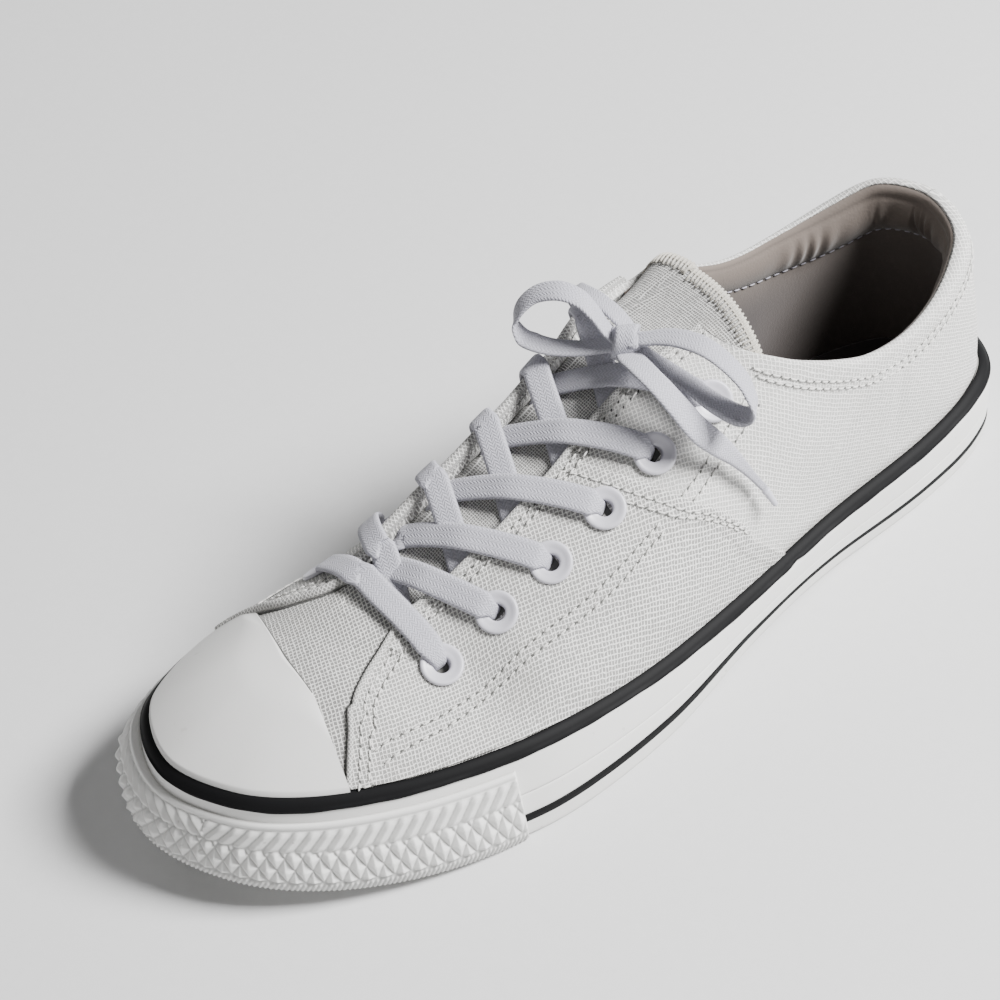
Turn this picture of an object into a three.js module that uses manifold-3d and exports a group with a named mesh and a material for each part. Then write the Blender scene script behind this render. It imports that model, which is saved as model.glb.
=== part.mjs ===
// A left canvas low-top sneaker, standing empty on its sole.
// Millimetres, +Z up, toe towards -Y, the wearer's left (the lateral side) towards +X.
// The origin is the bottom centre of the shoe's bounding box.
import * as THREE from "three";
import Module from "manifold-3d";
import { mergeVertices } from "three/addons/utils/BufferGeometryUtils.js";

const wasm = await Module();
wasm.setup();

// ---------------------------------------------------------------- driving sizes
const GAP = 0.3; // between pieces that touch
const WALL = 2.2; // canvas and its lining
const COLLAR_WALL = 3.0; // padded canvas round the ankle
const TONGUE_THICK = 3.0;
const CAP_THICK = 1.4; // rubber toe cap over the canvas
const INSOLE_THICK = 4.0;
const CENTRE = { x: 2.38, y: 0.1 }; // moves the model so that its bounding box is centred

// The sidewall seen from above at its widest line, heel to toe.
const OUTLINE = [
  { y: 137.5, medial: -21, lateral: 19.5 },
  { y: 123.5, medial: -31, lateral: 29 },
  { y: 99.5, medial: -36, lateral: 34 },
  { y: 61.5, medial: -36, lateral: 36.5 },
  { y: 24.5, medial: -36, lateral: 42 },
  { y: -13.5, medial: -40, lateral: 47.5 },
  { y: -46.5, medial: -46.5, lateral: 48.5 },
  { y: -69.5, medial: -49, lateral: 44.5 },
  { y: -93.5, medial: -48.5, lateral: 36 },
  { y: -114.5, medial: -43.5, lateral: 23.5 },
  { y: -128.5, medial: -34, lateral: 8 },
];
const HEEL_TIP = { x: -1, y: 144 };
const TOE_TIP = { x: -13.5, y: -135.5 };

// Sidewall: height of its top edge, how far its foot stands out, and the sole's lift off the floor.
const SIDEWALL = [
  { y: -136, top: 33.5, flare: 4.0 },
  { y: -93, top: 31.5, flare: 3.4 },
  { y: -51, top: 29.5, flare: 2.8 },
  { y: -15, top: 25.5, flare: 1.5 },
  { y: 24, top: 23.0, flare: -1.5 },
  { y: 80, top: 23.5, flare: -2.5 },
  { y: 144, top: 26.0, flare: -1.5 },
];
const TOE_SPRING = { from: -51, tip: -136, lift: 11 };
const HEEL_BEVEL = { from: 118, tip: 144, lift: 1.2 };
const ARCH = { centre: 38, half: 52, lift: 2.4 };

// Upper, closed over the last: height and place of its ridge, and the shape of each side's section,
// which rises by (1 - across ^ crown) ^ side from the sidewall to the ridge.
const LAST = [
  { y: -136, ridge: 43, x: -12, lateralCrown: 2.2, lateralSide: 0.97, medialCrown: 2.2, medialSide: 0.97 },
  { y: -91, ridge: 48.5, x: -9, lateralCrown: 2.2, lateralSide: 0.97, medialCrown: 2.2, medialSide: 0.97 },
  { y: -62, ridge: 55, x: -13, lateralCrown: 1.6, lateralSide: 1.1, medialCrown: 1.4, medialSide: 0.9 },
  { y: -45, ridge: 61.5, x: -15, lateralCrown: 1.7, lateralSide: 0.7, medialCrown: 1.15, medialSide: 0.85 },
  { y: -27, ridge: 68, x: -15.5, lateralCrown: 2, lateralSide: 0.54, medialCrown: 1.15, medialSide: 0.8 },
  { y: -8, ridge: 75, x: -15.5, lateralCrown: 2.3, lateralSide: 0.43, medialCrown: 1.15, medialSide: 0.8 },
  { y: 11, ridge: 82, x: -16, lateralCrown: 2.6, lateralSide: 0.37, medialCrown: 1.5, medialSide: 0.7 },
  { y: 33, ridge: 88.5, x: -16, lateralCrown: 3, lateralSide: 0.36, medialCrown: 3.2, medialSide: 0.45 },
  { y: 55, ridge: 94, x: -9, lateralCrown: 3.6, lateralSide: 0.28, medialCrown: 3.8, medialSide: 0.26 },
  { y: 80, ridge: 98, x: -4, lateralCrown: 4, lateralSide: 0.25, medialCrown: 4, medialSide: 0.25 },
  { y: 111, ridge: 98, x: -1.5, lateralCrown: 4, lateralSide: 0.25, medialCrown: 4, medialSide: 0.25 },
];
const TOE_POLE = -91; // the ridge's ends, where the sections turn round toe and heel
const HEEL_POLE = 111;

// Throat, seen from above: where its two edges run.
const THROAT = [
  { y: -71, medial: -11, lateral: -5 },
  { y: -66, medial: -16, lateral: 1 },
  { y: -56, medial: -17.5, lateral: 4.5 },
  { y: -32, medial: -16.5, lateral: 6.5 },
  { y: -12, medial: -16, lateral: 6.5 },
  { y: 6, medial: -17, lateral: 5 },
  { y: 20, medial: -20.5, lateral: 4.5 },
  { y: 36, medial: -25, lateral: 6.5 },
  { y: 52, medial: -27.5, lateral: 9.5 },
  { y: 70, medial: -28, lateral: 12 },
];

// Tongue, seen from above, from the medial foot corner round to the medial side.
const TONGUE = [
  { x: -22, y: -74 },
  { x: 8, y: -74 },
  { x: 17, y: -40 },
  { x: 20, y: 0 },
  { x: 23, y: 36 },
  { x: 26, y: 50 },
  { x: 16, y: 53 },
  { x: -4, y: 54.5 },
  { x: -19, y: 54.5 },
  { x: -28, y: 52.5 },
  { x: -26.5, y: 44 },
  { x: -22, y: 20 },
  { x: -21.5, y: 0 },
  { x: -21.5, y: -20 },
  { x: -24.5, y: -40 },
];

// Top line of the collar, seen from the side, from the eyestays' upper ends to the heel.
const TOP_LINE = [
  { y: 40, lateral: 91, medial: 104 },
  { y: 43, lateral: 87.5, medial: 101 },
  { y: 47, lateral: 84.8, medial: 97 },
  { y: 52, lateral: 82.2, medial: 90 },
  { y: 58, lateral: 78.5, medial: 82 },
  { y: 64, lateral: 75, medial: 76.5 },
  { y: 71, lateral: 71, medial: 71.5 },
  { y: 81, lateral: 66.3, medial: 66.5 },
  { y: 91, lateral: 64.3, medial: 64.3 },
  { y: 101, lateral: 64.3, medial: 64.3 },
  { y: 111, lateral: 66, medial: 66 },
  { y: 120, lateral: 69, medial: 69 },
  { y: 128, lateral: 72.5, medial: 72.5 },
  { y: 134, lateral: 75, medial: 75 },
  { y: 139, lateral: 76, medial: 76 },
  { y: 150, lateral: 76, medial: 76 },
];

// The toe cap's rear edge, seen from above.
const CAP_EDGE = [
  { x: -60, y: -78 },
  { x: -46, y: -81.5 },
  { x: -28, y: -88 },
  { x: -10, y: -94 },
  { x: 5, y: -98 },
  { x: 19, y: -100 },
  { x: 27, y: -104 },
  { x: 40, y: -112 },
];
const BUMPER = { lateral: -64, medial: -62, top: 1.7, foot: 4.6, below: 6.5, inner: 2.4 };

const EYELETS = [
  { y: -65, lateral: 19, medial: -32 },
  { y: -45.5, lateral: 20.6, medial: -31 },
  { y: -27, lateral: 22.3, medial: -27.5 },
  { y: -7.8, lateral: 23, medial: -26.5 },
  { y: 11, lateral: 22.5, medial: -27 },
  { y: 32, lateral: 22.3, medial: -30 },
];
const EYELET = { flange: 5.9, tube: 3.1, hole: 2.4, rim: 0.9, clear: 3.5 };
const LACE = { width: 7.6, thick: 1.3 };


// The bow, tied over the last crossing. Each loop or end is a flat lace along its points; width is
// the direction across it, where it leaves the knot and at its last point.
const KNOT = { x: 1, y: 21.5, z: 92.3, long: 4.4, deep: 3.2, high: 2.9 };
const BOW = [
  {
    name: "lace_loop_left",
    points: [
      [-4.5, 19, 95.5],
      [-8, 18.5, 99],
      [-12.5, 17.5, 102],
      [-18, 15, 103],
      [-23.5, 11.5, 101],
      [-26, 7.5, 97.5],
      [-26.5, 5.5, 93.5],
      [-23.5, 5, 90.5],
      [-19.5, 6, 89.5],
      [-15, 8.5, 89],
      [-10.5, 12, 89],
      [-7, 15, 89.5],
    ],
    width: { start: [0.77, -0.63, -0.05], end: [0.77, -0.63, -0.05] },
  },
  {
    name: "lace_loop_right",
    points: [
      [6.5, 24, 95],
      [10.5, 26.5, 96.5],
      [16.5, 28.5, 98],
      [23.5, 30, 98.5],
      [30, 31, 97],
      [36, 31.5, 94],
      [40, 31, 90.5],
      [42, 30, 87.5],
      [41, 28.8, 85.7],
      [38, 27.8, 84.8],
      [33, 27, 84.8],
      [28, 26.4, 85.3],
      [22, 25.8, 86.6],
      [15, 24.8, 88],
      [9.5, 23.5, 89.5],
    ],
    width: { start: [0.6, -0.79, 0.1], end: [0.77, -0.63, -0.1] },
  },
  {
    name: "lace_end_lateral",
    points: [
      [6, 17.5, 94.5],
      [11, 16.5, 94.5],
      [16.5, 16, 93.8],
      [22, 16, 91.8],
      [27.4, 16.8, 87.8],
      [31.4, 19, 81.5],
      [33.8, 23, 75],
      [35.2, 27.2, 68.2],
      [36.8, 30.3, 61.8],
      [38, 33, 56],
      [39, 34.5, 52.5],
    ],
    width: { start: [0.3, -0.9, 0.3], end: [0.05, -0.94, -0.33] },
  },
  {
    name: "lace_end_medial",
    points: [
      [-2.5, 27.5, 93.5],
      [-8, 28.5, 94.5],
      [-14.5, 30, 94.5],
      [-21, 31.5, 93.8],
      [-27, 32.5, 92],
      [-32, 34, 89],
      [-35, 35, 83],
      [-36.5, 36.5, 76],
      [-37, 38, 68],
      [-37, 40, 60],
    ],
    width: { start: [0.35, -0.9, 0.2], end: [0, -1, 0] },
  },
];
const AGLET = { from: [39.2, 34.9, 51.4], to: [40.8, 37.4, 44.5], radius: 1.3, tip: 0.9 };

// ---------------------------------------------------------------- tables and curves
// The value of one column at y, as a smooth curve through the rows.
function column(table, key, y) {
  const rows = [...table].sort((a, b) => a.y - b.y);
  const last = rows.length - 1;
  if (y <= rows[0].y) return rows[0][key];
  if (y >= rows[last].y) return rows[last][key];
  const i = rows.findIndex((row) => row.y > y) - 1;
  const slope = (j) => {
    const low = rows[Math.max(j - 1, 0)];
    const high = rows[Math.min(j + 1, last)];
    return (high[key] - low[key]) / (high.y - low.y);
  };
  const span = rows[i + 1].y - rows[i].y;
  const t = (y - rows[i].y) / span;
  const rise = slope(i) * span * t * (1 - t) ** 2 - slope(i + 1) * span * t * t * (1 - t);
  const ease = t * t * (3 - 2 * t);
  return rows[i][key] * (1 - ease) + rows[i + 1][key] * ease + rise;
}

const outline = new THREE.CatmullRomCurve3(
  [
    HEEL_TIP,
    ...OUTLINE.map((row) => ({ x: row.lateral, y: row.y })),
    TOE_TIP,
    ...OUTLINE.map((row) => ({ x: row.medial, y: row.y })).reverse(),
  ].map((point) => new THREE.Vector3(point.x, point.y, 0)),
  true,
  "catmullrom",
  0.5,
);
outline.arcLengthDivisions = 1200;

// A place on the outline, with the direction that points out of the shoe.
function place(u) {
  const point = outline.getPointAt(u);
  const tangent = outline.getTangentAt(u);
  return { u, x: point.x, y: point.y, outX: -tangent.y, outY: tangent.x };
}

// Where the outline crosses a given y, on the lateral or the medial side.
function crossing(side, y) {
  let [near, far] = side === "lateral" ? [0, 0.5] : [1, 0.5];
  for (let i = 0; i < 40; i += 1) {
    const middle = (near + far) / 2;
    if (outline.getPointAt(middle).y > y) near = middle;
    else far = middle;
  }
  return near;
}

const MID_STEPS = 18; // sections between the two poles
const ARC_STEPS = 12; // steps round the toe and round the heel

// The places round the shoe, each with the number of the ridge point that its section runs to.
function walkRound() {
  const stations = [];
  for (let i = 0; i <= MID_STEPS; i += 1) {
    stations.push(HEEL_POLE + ((TOE_POLE - HEEL_POLE) * i) / MID_STEPS);
  }
  const lateral = stations.map((y, i) => ({ ...place(crossing("lateral", y)), ridge: i }));
  const medial = stations.map((y, i) => ({ ...place(crossing("medial", y)), ridge: i })).reverse();
  const arc = (from, to, ridge) => {
    const points = [];
    for (let i = 1; i < ARC_STEPS; i += 1) {
      const u = from + ((to - from) * i) / ARC_STEPS;
      points.push({ ...place(((u % 1) + 1) % 1), ridge });
    }
    return points;
  };
  const toe = arc(lateral[MID_STEPS].u, medial[0].u, MID_STEPS);
  const heel = arc(medial[MID_STEPS].u, 1 + lateral[0].u, 0);
  return { stations, places: [...lateral, ...toe, ...medial, ...heel] };
}
const { stations: STATIONS, places: ROUND } = walkRound();

// ---------------------------------------------------------------- levels of the sole
const fadeIn = (y, from, tip) => Math.min(Math.max((y - from) / (tip - from), 0), 1.1);

function soleBottom(y) {
  const toe = TOE_SPRING.lift * fadeIn(y, TOE_SPRING.from, TOE_SPRING.tip) ** 2;
  const heel = HEEL_BEVEL.lift * fadeIn(y, HEEL_BEVEL.from, HEEL_BEVEL.tip) ** 2;
  const away = Math.min(Math.abs(y - ARCH.centre) / ARCH.half, 1);
  return toe + heel + ARCH.lift * Math.cos((away * Math.PI) / 2) ** 2;
}
const wallTop = (y) => column(SIDEWALL, "top", y);

// How far the sidewall's face stands out of the outline at height z.
function wallOut(y, z) {
  const shoulder = wallTop(y) - 4;
  const down = (shoulder - z) / (shoulder - soleBottom(y));
  return column(SIDEWALL, "flare", y) * Math.max(down, 0);
}

const at = (spot, out, z) => new THREE.Vector3(spot.x + spot.outX * out, spot.y + spot.outY * out, z);
const ringOf = (out, level) => ROUND.map((spot) => at(spot, out(spot), level(spot)));

// ---------------------------------------------------------------- solids
function solidOf(points, faces) {
  const geometry = new THREE.BufferGeometry();
  const positions = points.flatMap((point) => [point.x, point.y, point.z]);
  geometry.setAttribute("position", new THREE.Float32BufferAttribute(positions, 3));
  geometry.setIndex(faces);
  return toSolid(geometry);
}

function toSolid(geometry) {
  const bare = geometry.clone();
  bare.deleteAttribute("normal");
  bare.deleteAttribute("uv");
  const merged = mergeVertices(bare, 1e-4);
  return new wasm.Manifold(
    new wasm.Mesh({
      numProp: 3,
      vertProperties: new Float32Array(merged.attributes.position.array),
      triVerts: new Uint32Array(merged.index.array),
    }),
  );
}

function toGeometry(solid) {
  const mesh = solid.getMesh();
  const geometry = new THREE.BufferGeometry();
  geometry.setAttribute("position", new THREE.BufferAttribute(new Float32Array(mesh.vertProperties), 3));
  geometry.setIndex(new THREE.BufferAttribute(new Uint32Array(mesh.triVerts), 1));
  geometry.computeVertexNormals();
  return geometry;
}

// A closed form from rings stacked bottom to top, shut by a seam line below and one above.
function stacked(rings, floor, ridge) {
  const points = [...rings.flat(), ...floor, ...ridge];
  const count = ROUND.length;
  const floorAt = rings.length * count;
  const ridgeAt = floorAt + floor.length;
  const faces = [];
  const face = (a, b, c) => {
    if (a !== b && b !== c && c !== a) faces.push(a, b, c);
  };
  for (let i = 0; i < count; i += 1) {
    const next = (i + 1) % count;
    for (let k = 0; k + 1 < rings.length; k += 1) {
      const low = k * count;
      const high = low + count;
      face(low + next, low + i, high + i);
      face(low + next, high + i, high + next);
    }
    const top = (rings.length - 1) * count;
    const here = ROUND[i].ridge;
    const there = ROUND[next].ridge;
    face(top + next, top + i, ridgeAt + here);
    face(top + next, ridgeAt + here, ridgeAt + there);
    face(i, next, floorAt + here);
    face(next, floorAt + there, floorAt + here);
  }
  return solidOf(points, faces);
}

// A closed band whose section is a ring of outlines, each above, inside or below the one before.
function band(rings) {
  const count = rings[0].length;
  const faces = [];
  rings.forEach((ring, k) => {
    const low = k * count;
    const high = ((k + 1) % rings.length) * count;
    for (let i = 0; i < count; i += 1) {
      const next = (i + 1) % count;
      faces.push(low + next, low + i, high + i, low + next, high + i, high + next);
    }
  });
  return solidOf(rings.flat(), faces);
}

// A bar with closed ends, from sections that each list their corners in the same turn.
function bar(sections) {
  const corners = sections[0].length;
  const faces = [];
  for (let s = 0; s + 1 < sections.length; s += 1) {
    for (let c = 0; c < corners; c += 1) {
      const a = s * corners + c;
      const b = s * corners + ((c + 1) % corners);
      faces.push(a, b, b + corners, a, b + corners, a + corners);
    }
  }
  const end = (sections.length - 1) * corners;
  for (let c = 1; c + 1 < corners; c += 1) {
    faces.push(0, c + 1, c, end, end + c, end + c + 1);
  }
  return solidOf(sections.flat(), faces);
}

// A plan outline pulled up and down into a prism.
function prism(corners, low, high) {
  const shape = new THREE.Shape(corners.map(([x, y]) => new THREE.Vector2(x, y)));
  const geometry = new THREE.ExtrudeGeometry(shape, { depth: high - low, bevelEnabled: false });
  geometry.translate(0, 0, low);
  return toSolid(geometry);
}

// ---------------------------------------------------------------- the last
const ridgeX = (y) => column(LAST, "x", y);
const poleY = (y) => Math.min(Math.max(y, TOE_POLE), HEEL_POLE);

const crownOf = (side, y) => column(LAST, `${side}Crown`, poleY(y));
const sideOf = (side, y) => column(LAST, `${side}Side`, poleY(y));
const sideAt = (x, y) => (x > ridgeX(y) ? "lateral" : "medial");

// A point of the upper's surface: spot is its place round the shoe, across runs from 0 on the ridge
// to 1 on the sidewall, inset and drop bring it inside the outer face.
function onLast(spot, across, inset, drop) {
  const foot = at(spot, -inset, wallTop(spot.y));
  const y = poleY(foot.y);
  const side = sideAt(foot.x, y);
  const px = ridgeX(y) + (foot.x - ridgeX(y)) * across;
  const py = y + (foot.y - y) * across;
  const rise = (1 - across ** crownOf(side, y)) ** sideOf(side, y);
  return new THREE.Vector3(px, py, foot.z + (column(LAST, "ridge", py) - drop - foot.z) * rise);
}

// The share across of each step of the profile, finer near the sidewall.
function acrossAt(spot, k) {
  const turn = ((k / PROFILE_STEPS) * Math.PI) / 2;
  return Math.cos(turn) ** (2 / crownOf(sideAt(spot.x, poleY(spot.y)), spot.y));
}

const UPPER_INSET = 3.7; // the canvas just above the sidewall
const SKIRT_INSET = 4.7; // the canvas behind the sidewall
const SKIRT_DROP = 3;
const FOOT_ABOVE = 5.8; // the canvas's hem above the sole's bottom
const PROFILE_STEPS = 9;

// The upper as a closed form, thinner than the outer one by shell at the foot and drop at the ridge.
function lastForm(shell, drop, footAbove) {
  const hem = (spot) => soleBottom(spot.y) + footAbove;
  const skirt = (spot) => -(SKIRT_INSET + shell(spot.y));
  const rings = [ringOf(skirt, hem), ringOf(skirt, (spot) => wallTop(spot.y) - SKIRT_DROP)];
  for (let k = 0; k < PROFILE_STEPS; k += 1) {
    rings.push(
      ROUND.map((spot) => onLast(spot, acrossAt(spot, k), UPPER_INSET + shell(spot.y), drop(spot.y))),
    );
  }
  const ridge = STATIONS.map((y) => new THREE.Vector3(ridgeX(y), y, column(LAST, "ridge", y) - drop(y)));
  const floor = STATIONS.map((y) => new THREE.Vector3(ridgeX(y), y, soleBottom(y) + footAbove));
  return stacked(rings, floor, ridge);
}

// The place round the shoe, and the share across, of the surface point above (x, y).
function findOnLast(x, y) {
  const spot = place(crossing(sideAt(x, y), y));
  const foot = at(spot, -UPPER_INSET, 0);
  return { spot, across: (x - ridgeX(y)) / (foot.x - ridgeX(y)) };
}

// The surface point above (x, y), lifted along its normal, with that normal.
function surfaceAt(x, y, lift = 0) {
  const height = (px, py) => {
    const { spot, across } = findOnLast(px, py);
    return onLast(spot, Math.min(Math.abs(across), 0.999), UPPER_INSET, 0).z;
  };
  const step = 0.8;
  const z = height(x, y);
  const normal = new THREE.Vector3(
    -(height(x + step, y) - height(x - step, y)) / (2 * step),
    -(height(x, y + step) - height(x, y - step)) / (2 * step),
    1,
  ).normalize();
  return { point: new THREE.Vector3(x, y, z).addScaledVector(normal, lift), normal };
}

const wallThick = (y) => WALL + (COLLAR_WALL - WALL) * Math.min(Math.max((y - 45) / 25, 0), 1);
const constant = (value) => () => value;

// ---------------------------------------------------------------- sole
const FLANGE = 5.2; // height of the outsole's visible edge
const SOLE_GAP = 0.45; // between the outsole and the sidewall
const CORE = 9; // height of the outsole inside the sidewall
const CORE_INSET = SKIRT_INSET + COLLAR_WALL + GAP;
const FOXING_INNER = SKIRT_INSET - GAP;

function makeOutsole() {
  const bottom = (spot) => soleBottom(spot.y);
  const edge = (height) => (spot) => wallOut(spot.y, bottom(spot) + height);
  const rings = [
    ringOf((spot) => edge(0)(spot) - 1.2, bottom),
    ringOf(edge(1.2), (spot) => bottom(spot) + 1.2),
    ringOf(edge(FLANGE), (spot) => bottom(spot) + FLANGE),
    ringOf(() => -CORE_INSET, (spot) => bottom(spot) + FLANGE),
    ringOf(() => -CORE_INSET, (spot) => bottom(spot) + CORE),
  ];
  const floor = STATIONS.map((y) => new THREE.Vector3(ridgeX(y), y, soleBottom(y)));
  const ridge = STATIONS.map((y) => new THREE.Vector3(ridgeX(y), y, soleBottom(y) + CORE));
  return stacked(rings, floor, ridge);
}

function makeFoxing() {
  const low = (spot) => soleBottom(spot.y) + FLANGE + SOLE_GAP;
  const top = (spot) => wallTop(spot.y);
  const rings = [
    ringOf((spot) => wallOut(spot.y, low(spot)), low),
    ringOf(constant(0), (spot) => top(spot) - 4),
    ringOf(constant(-0.7), (spot) => top(spot) - 2.2),
    ringOf(constant(-2.7), top),
    ringOf(constant(-(UPPER_INSET - GAP)), top),
    ringOf(constant(-FOXING_INNER), (spot) => top(spot) - SKIRT_DROP),
    ringOf(constant(-FOXING_INNER), low),
  ];
  return band(rings);
}

// The thick rubber band round the toe, over sidewall and outsole edge.
function makeBumper() {
  const steps = 34;
  const from = crossing("lateral", BUMPER.lateral);
  const to = crossing("medial", BUMPER.medial);
  const sections = [];
  for (let i = 0; i <= steps; i += 1) {
    const spot = place(from + ((to - from) * i) / steps);
    const share = Math.sin((i / steps) * Math.PI) ** 0.7; // thickest at the tip
    const inner = BUMPER.inner * Math.sin(Math.max(i / steps - 0.42, 0) * 1.7 * Math.PI) ** 2;
    const low = soleBottom(spot.y) + GAP;
    const high = wallTop(spot.y) - BUMPER.below;
    const face = (z) => wallOut(spot.y, z) + GAP;
    const foot = BUMPER.top + (BUMPER.foot - BUMPER.top) * share;
    const middle = (low + high) / 2;
    sections.push([
      at(spot, face(low), low),
      at(spot, face(low) + foot - 1, low),
      at(spot, face(low) + foot, low + 2),
      at(spot, face(middle) + (foot + BUMPER.top) / 2 + 0.3 + inner, middle),
      at(spot, face(high) + BUMPER.top + inner / 2, high - 1),
      at(spot, face(high) + BUMPER.top + inner / 2 - 0.8, high),
      at(spot, face(high), high),
    ]);
  }
  return bar(sections);
}

function makeInsole() {
  const low = (spot) => soleBottom(spot.y) + CORE + GAP;
  const high = (spot) => low(spot) + INSOLE_THICK;
  const inset = constant(-(CORE_INSET + 0.4));
  const rings = [ringOf(inset, low), ringOf(inset, (spot) => high(spot) - 1), ringOf(() => inset() - 1, high)];
  const seam = (level) => STATIONS.map((y) => new THREE.Vector3(ridgeX(y), y, level({ y })));
  return stacked(rings, seam(low), seam(high));
}

// ---------------------------------------------------------------- upper
const curve2 = (points, steps) => {
  const spline = new THREE.CatmullRomCurve3(points.map(([x, y]) => new THREE.Vector3(x, y, 0)));
  return spline.getPoints(steps).map((point) => [point.x, point.y]);
};

function throatPlan() {
  const edge = (side) => curve2(THROAT.map((row) => [row[side], row.y]), 16);
  const front = [(THROAT[0].medial + THROAT[0].lateral) / 2, THROAT[0].y - 1.5];
  return [...edge("medial").reverse(), front, ...edge("lateral")];
}

// Everything above the top line, one prism for each side of the shoe.
function makeTopCut() {
  const half = (side, from) => {
    const line = TOP_LINE.map((row) => [row.y, row[side]]);
    const corners = [...line, [150, 160], [TOP_LINE[0].y, 160]];
    const shape = new THREE.Shape(corners.map(([y, z]) => new THREE.Vector2(y, z)));
    const geometry = new THREE.ExtrudeGeometry(shape, { depth: 80, bevelEnabled: false });
    geometry.translate(0, 0, from);
    const turn = new THREE.Matrix4().set(0, 0, 1, 0, 1, 0, 0, 0, 0, 1, 0, 0, 0, 0, 0, 1);
    return toSolid(geometry.applyMatrix4(turn));
  };
  return half("lateral", HEEL_TIP.x).add(half("medial", HEEL_TIP.x - 80));
}

function eyeletPlaces() {
  return EYELETS.flatMap((row, i) =>
    ["lateral", "medial"].map((side) => ({ name: `eyelet_${side}_${i + 1}`, ...surfaceAt(row[side], row.y) })),
  );
}

// Turns +Z to a direction and moves the origin to a point.
function stand(point, direction) {
  const turn = new THREE.Quaternion().setFromUnitVectors(new THREE.Vector3(0, 0, 1), direction);
  return new THREE.Matrix4().compose(point, turn, new THREE.Vector3(1, 1, 1));
}

function makeUpper() {
  const outer = lastForm(constant(0), constant(0), FOOT_ABOVE);
  const inner = lastForm(wallThick, wallThick, FOOT_ABOVE - 6);
  let upper = outer.subtract(inner).subtract(prism(throatPlan(), 36, 200)).subtract(makeTopCut());
  for (const { point, normal } of eyeletPlaces()) {
    const drill = new THREE.CylinderGeometry(EYELET.clear, EYELET.clear, 12, 10).rotateX(Math.PI / 2);
    upper = upper.subtract(toSolid(drill.applyMatrix4(stand(point, normal))));
  }
  return upper;
}

function capPlan() {
  const edge = curve2(CAP_EDGE.map((point) => [point.x, point.y]), 12);
  return [...edge, [40, -150], [-60, -150]];
}

function makeToeCap() {
  const form = (proud) => {
    const low = (spot) => wallTop(spot.y) + GAP;
    const rings = [ringOf(constant(proud - UPPER_INSET), (spot) => low(spot) - (proud > 1 ? 0 : 2))];
    for (let k = 1; k < PROFILE_STEPS; k += 1) {
      rings.push(
        ROUND.map((spot) => {
          const point = onLast(spot, acrossAt(spot, k), UPPER_INSET - proud, -proud);
          return point.setZ(Math.max(point.z, low(spot)));
        }),
      );
    }
    const ridge = STATIONS.map((y) => new THREE.Vector3(ridgeX(y), y, column(LAST, "ridge", y) + proud));
    const floor = STATIONS.map((y) => new THREE.Vector3(ridgeX(y), y, wallTop(y) + GAP - (proud > 1 ? 0 : 2)));
    return stacked(rings, floor, ridge);
  };
  return form(GAP + CAP_THICK).subtract(form(GAP)).intersect(prism(capPlan(), 20, 90));
}

// The tongue lies just under the throat and stands out of it at the top.
function makeTongue() {
  const clearance = WALL + 0.9;
  const outer = lastForm(constant(clearance), constant(clearance), FOOT_ABOVE);
  const inner = lastForm(constant(clearance + TONGUE_THICK), constant(clearance + TONGUE_THICK), 0);
  const plan = TONGUE.map((point) => [point.x, point.y]);
  return outer.subtract(inner).intersect(prism(plan, 30, 200));
}

// ---------------------------------------------------------------- eyelets and laces
// A ring with a flange above the canvas and a short tube through it.
function makeEyelet({ point, normal }) {
  const low = -WALL;
  const seat = 0.75; // clears the bend of the canvas under the flange
  const profile = [
    [EYELET.hole, low],
    [EYELET.tube, low],
    [EYELET.tube, seat],
    [EYELET.flange, seat],
    [EYELET.flange - 0.3, seat + EYELET.rim],
    [EYELET.hole + 0.8, seat + EYELET.rim],
    [EYELET.hole, seat + 0.2],
    [EYELET.hole, low],
  ];
  const geometry = new THREE.LatheGeometry(profile.map(([r, h]) => new THREE.Vector2(r, h)), 12);
  geometry.rotateX(Math.PI / 2);
  return geometry.applyMatrix4(stand(point, normal));
}

// A flat lace along points, its broad face turned to the given normals.
function ribbon(path, normals, width = LACE.width, thick = LACE.thick) {
  const sections = path.map((point, i) => {
    const before = path[Math.max(i - 1, 0)];
    const after = path[Math.min(i + 1, path.length - 1)];
    const along = new THREE.Vector3().subVectors(after, before).normalize();
    const across = new THREE.Vector3().crossVectors(along, normals[i]).normalize();
    const up = new THREE.Vector3().crossVectors(across, along).normalize();
    const corner = (a, b) =>
      point.clone().addScaledVector(across, (a * width) / 2).addScaledVector(up, (b * thick) / 2);
    return [corner(-1, 0), corner(-0.9, 1), corner(0.9, 1), corner(1, 0), corner(0.9, -1), corner(-0.9, -1)];
  });
  return bar(sections);
}

// Lace paths over the throat, each a list of x, y and height above the canvas's outer face. A path
// that crosses starts on the tongue at one edge of the throat and ends over a hole on the other side.
const LACE_START = -1.3; // between tongue and eyestay
const LACE_OVER = 2.9; // over the edge of an eyestay
const LACE_END = 3.6; // over the flange of an eyelet

function barPath() {
  const { y, lateral, medial } = EYELETS[0];
  return [
    [medial, y, LACE_END],
    [medial + 8, y, LACE_OVER],
    [-16, y, LACE_OVER],
    [-5, y - 0.5, LACE_OVER],
    [8, y, LACE_OVER],
    [lateral, y, LACE_END],
  ];
}

function crossPaths(row) {
  const start = EYELETS[row].y - 1;
  const end = EYELETS[row + 1];
  const middle = (start + end.y) / 2;
  const from = { lateral: column(THROAT, "lateral", start) - 4.5, medial: column(THROAT, "medial", start) + 4.5 };
  const centre = (from.lateral + from.medial) / 2;
  const path = (near, far, step, low, high) => [
    [from[near], start, LACE_START],
    [centre - step, middle - 4, low],
    [centre + step, middle - 1, high],
    [column(THROAT, far, end.y) + Math.sign(step) * 2, end.y - 2.5, LACE_OVER],
    [end[far], end.y, LACE_END],
  ];
  return [path("lateral", "medial", -3, 0.4, 1.2), path("medial", "lateral", 3, 1.7, 2.2)];
}

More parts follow.
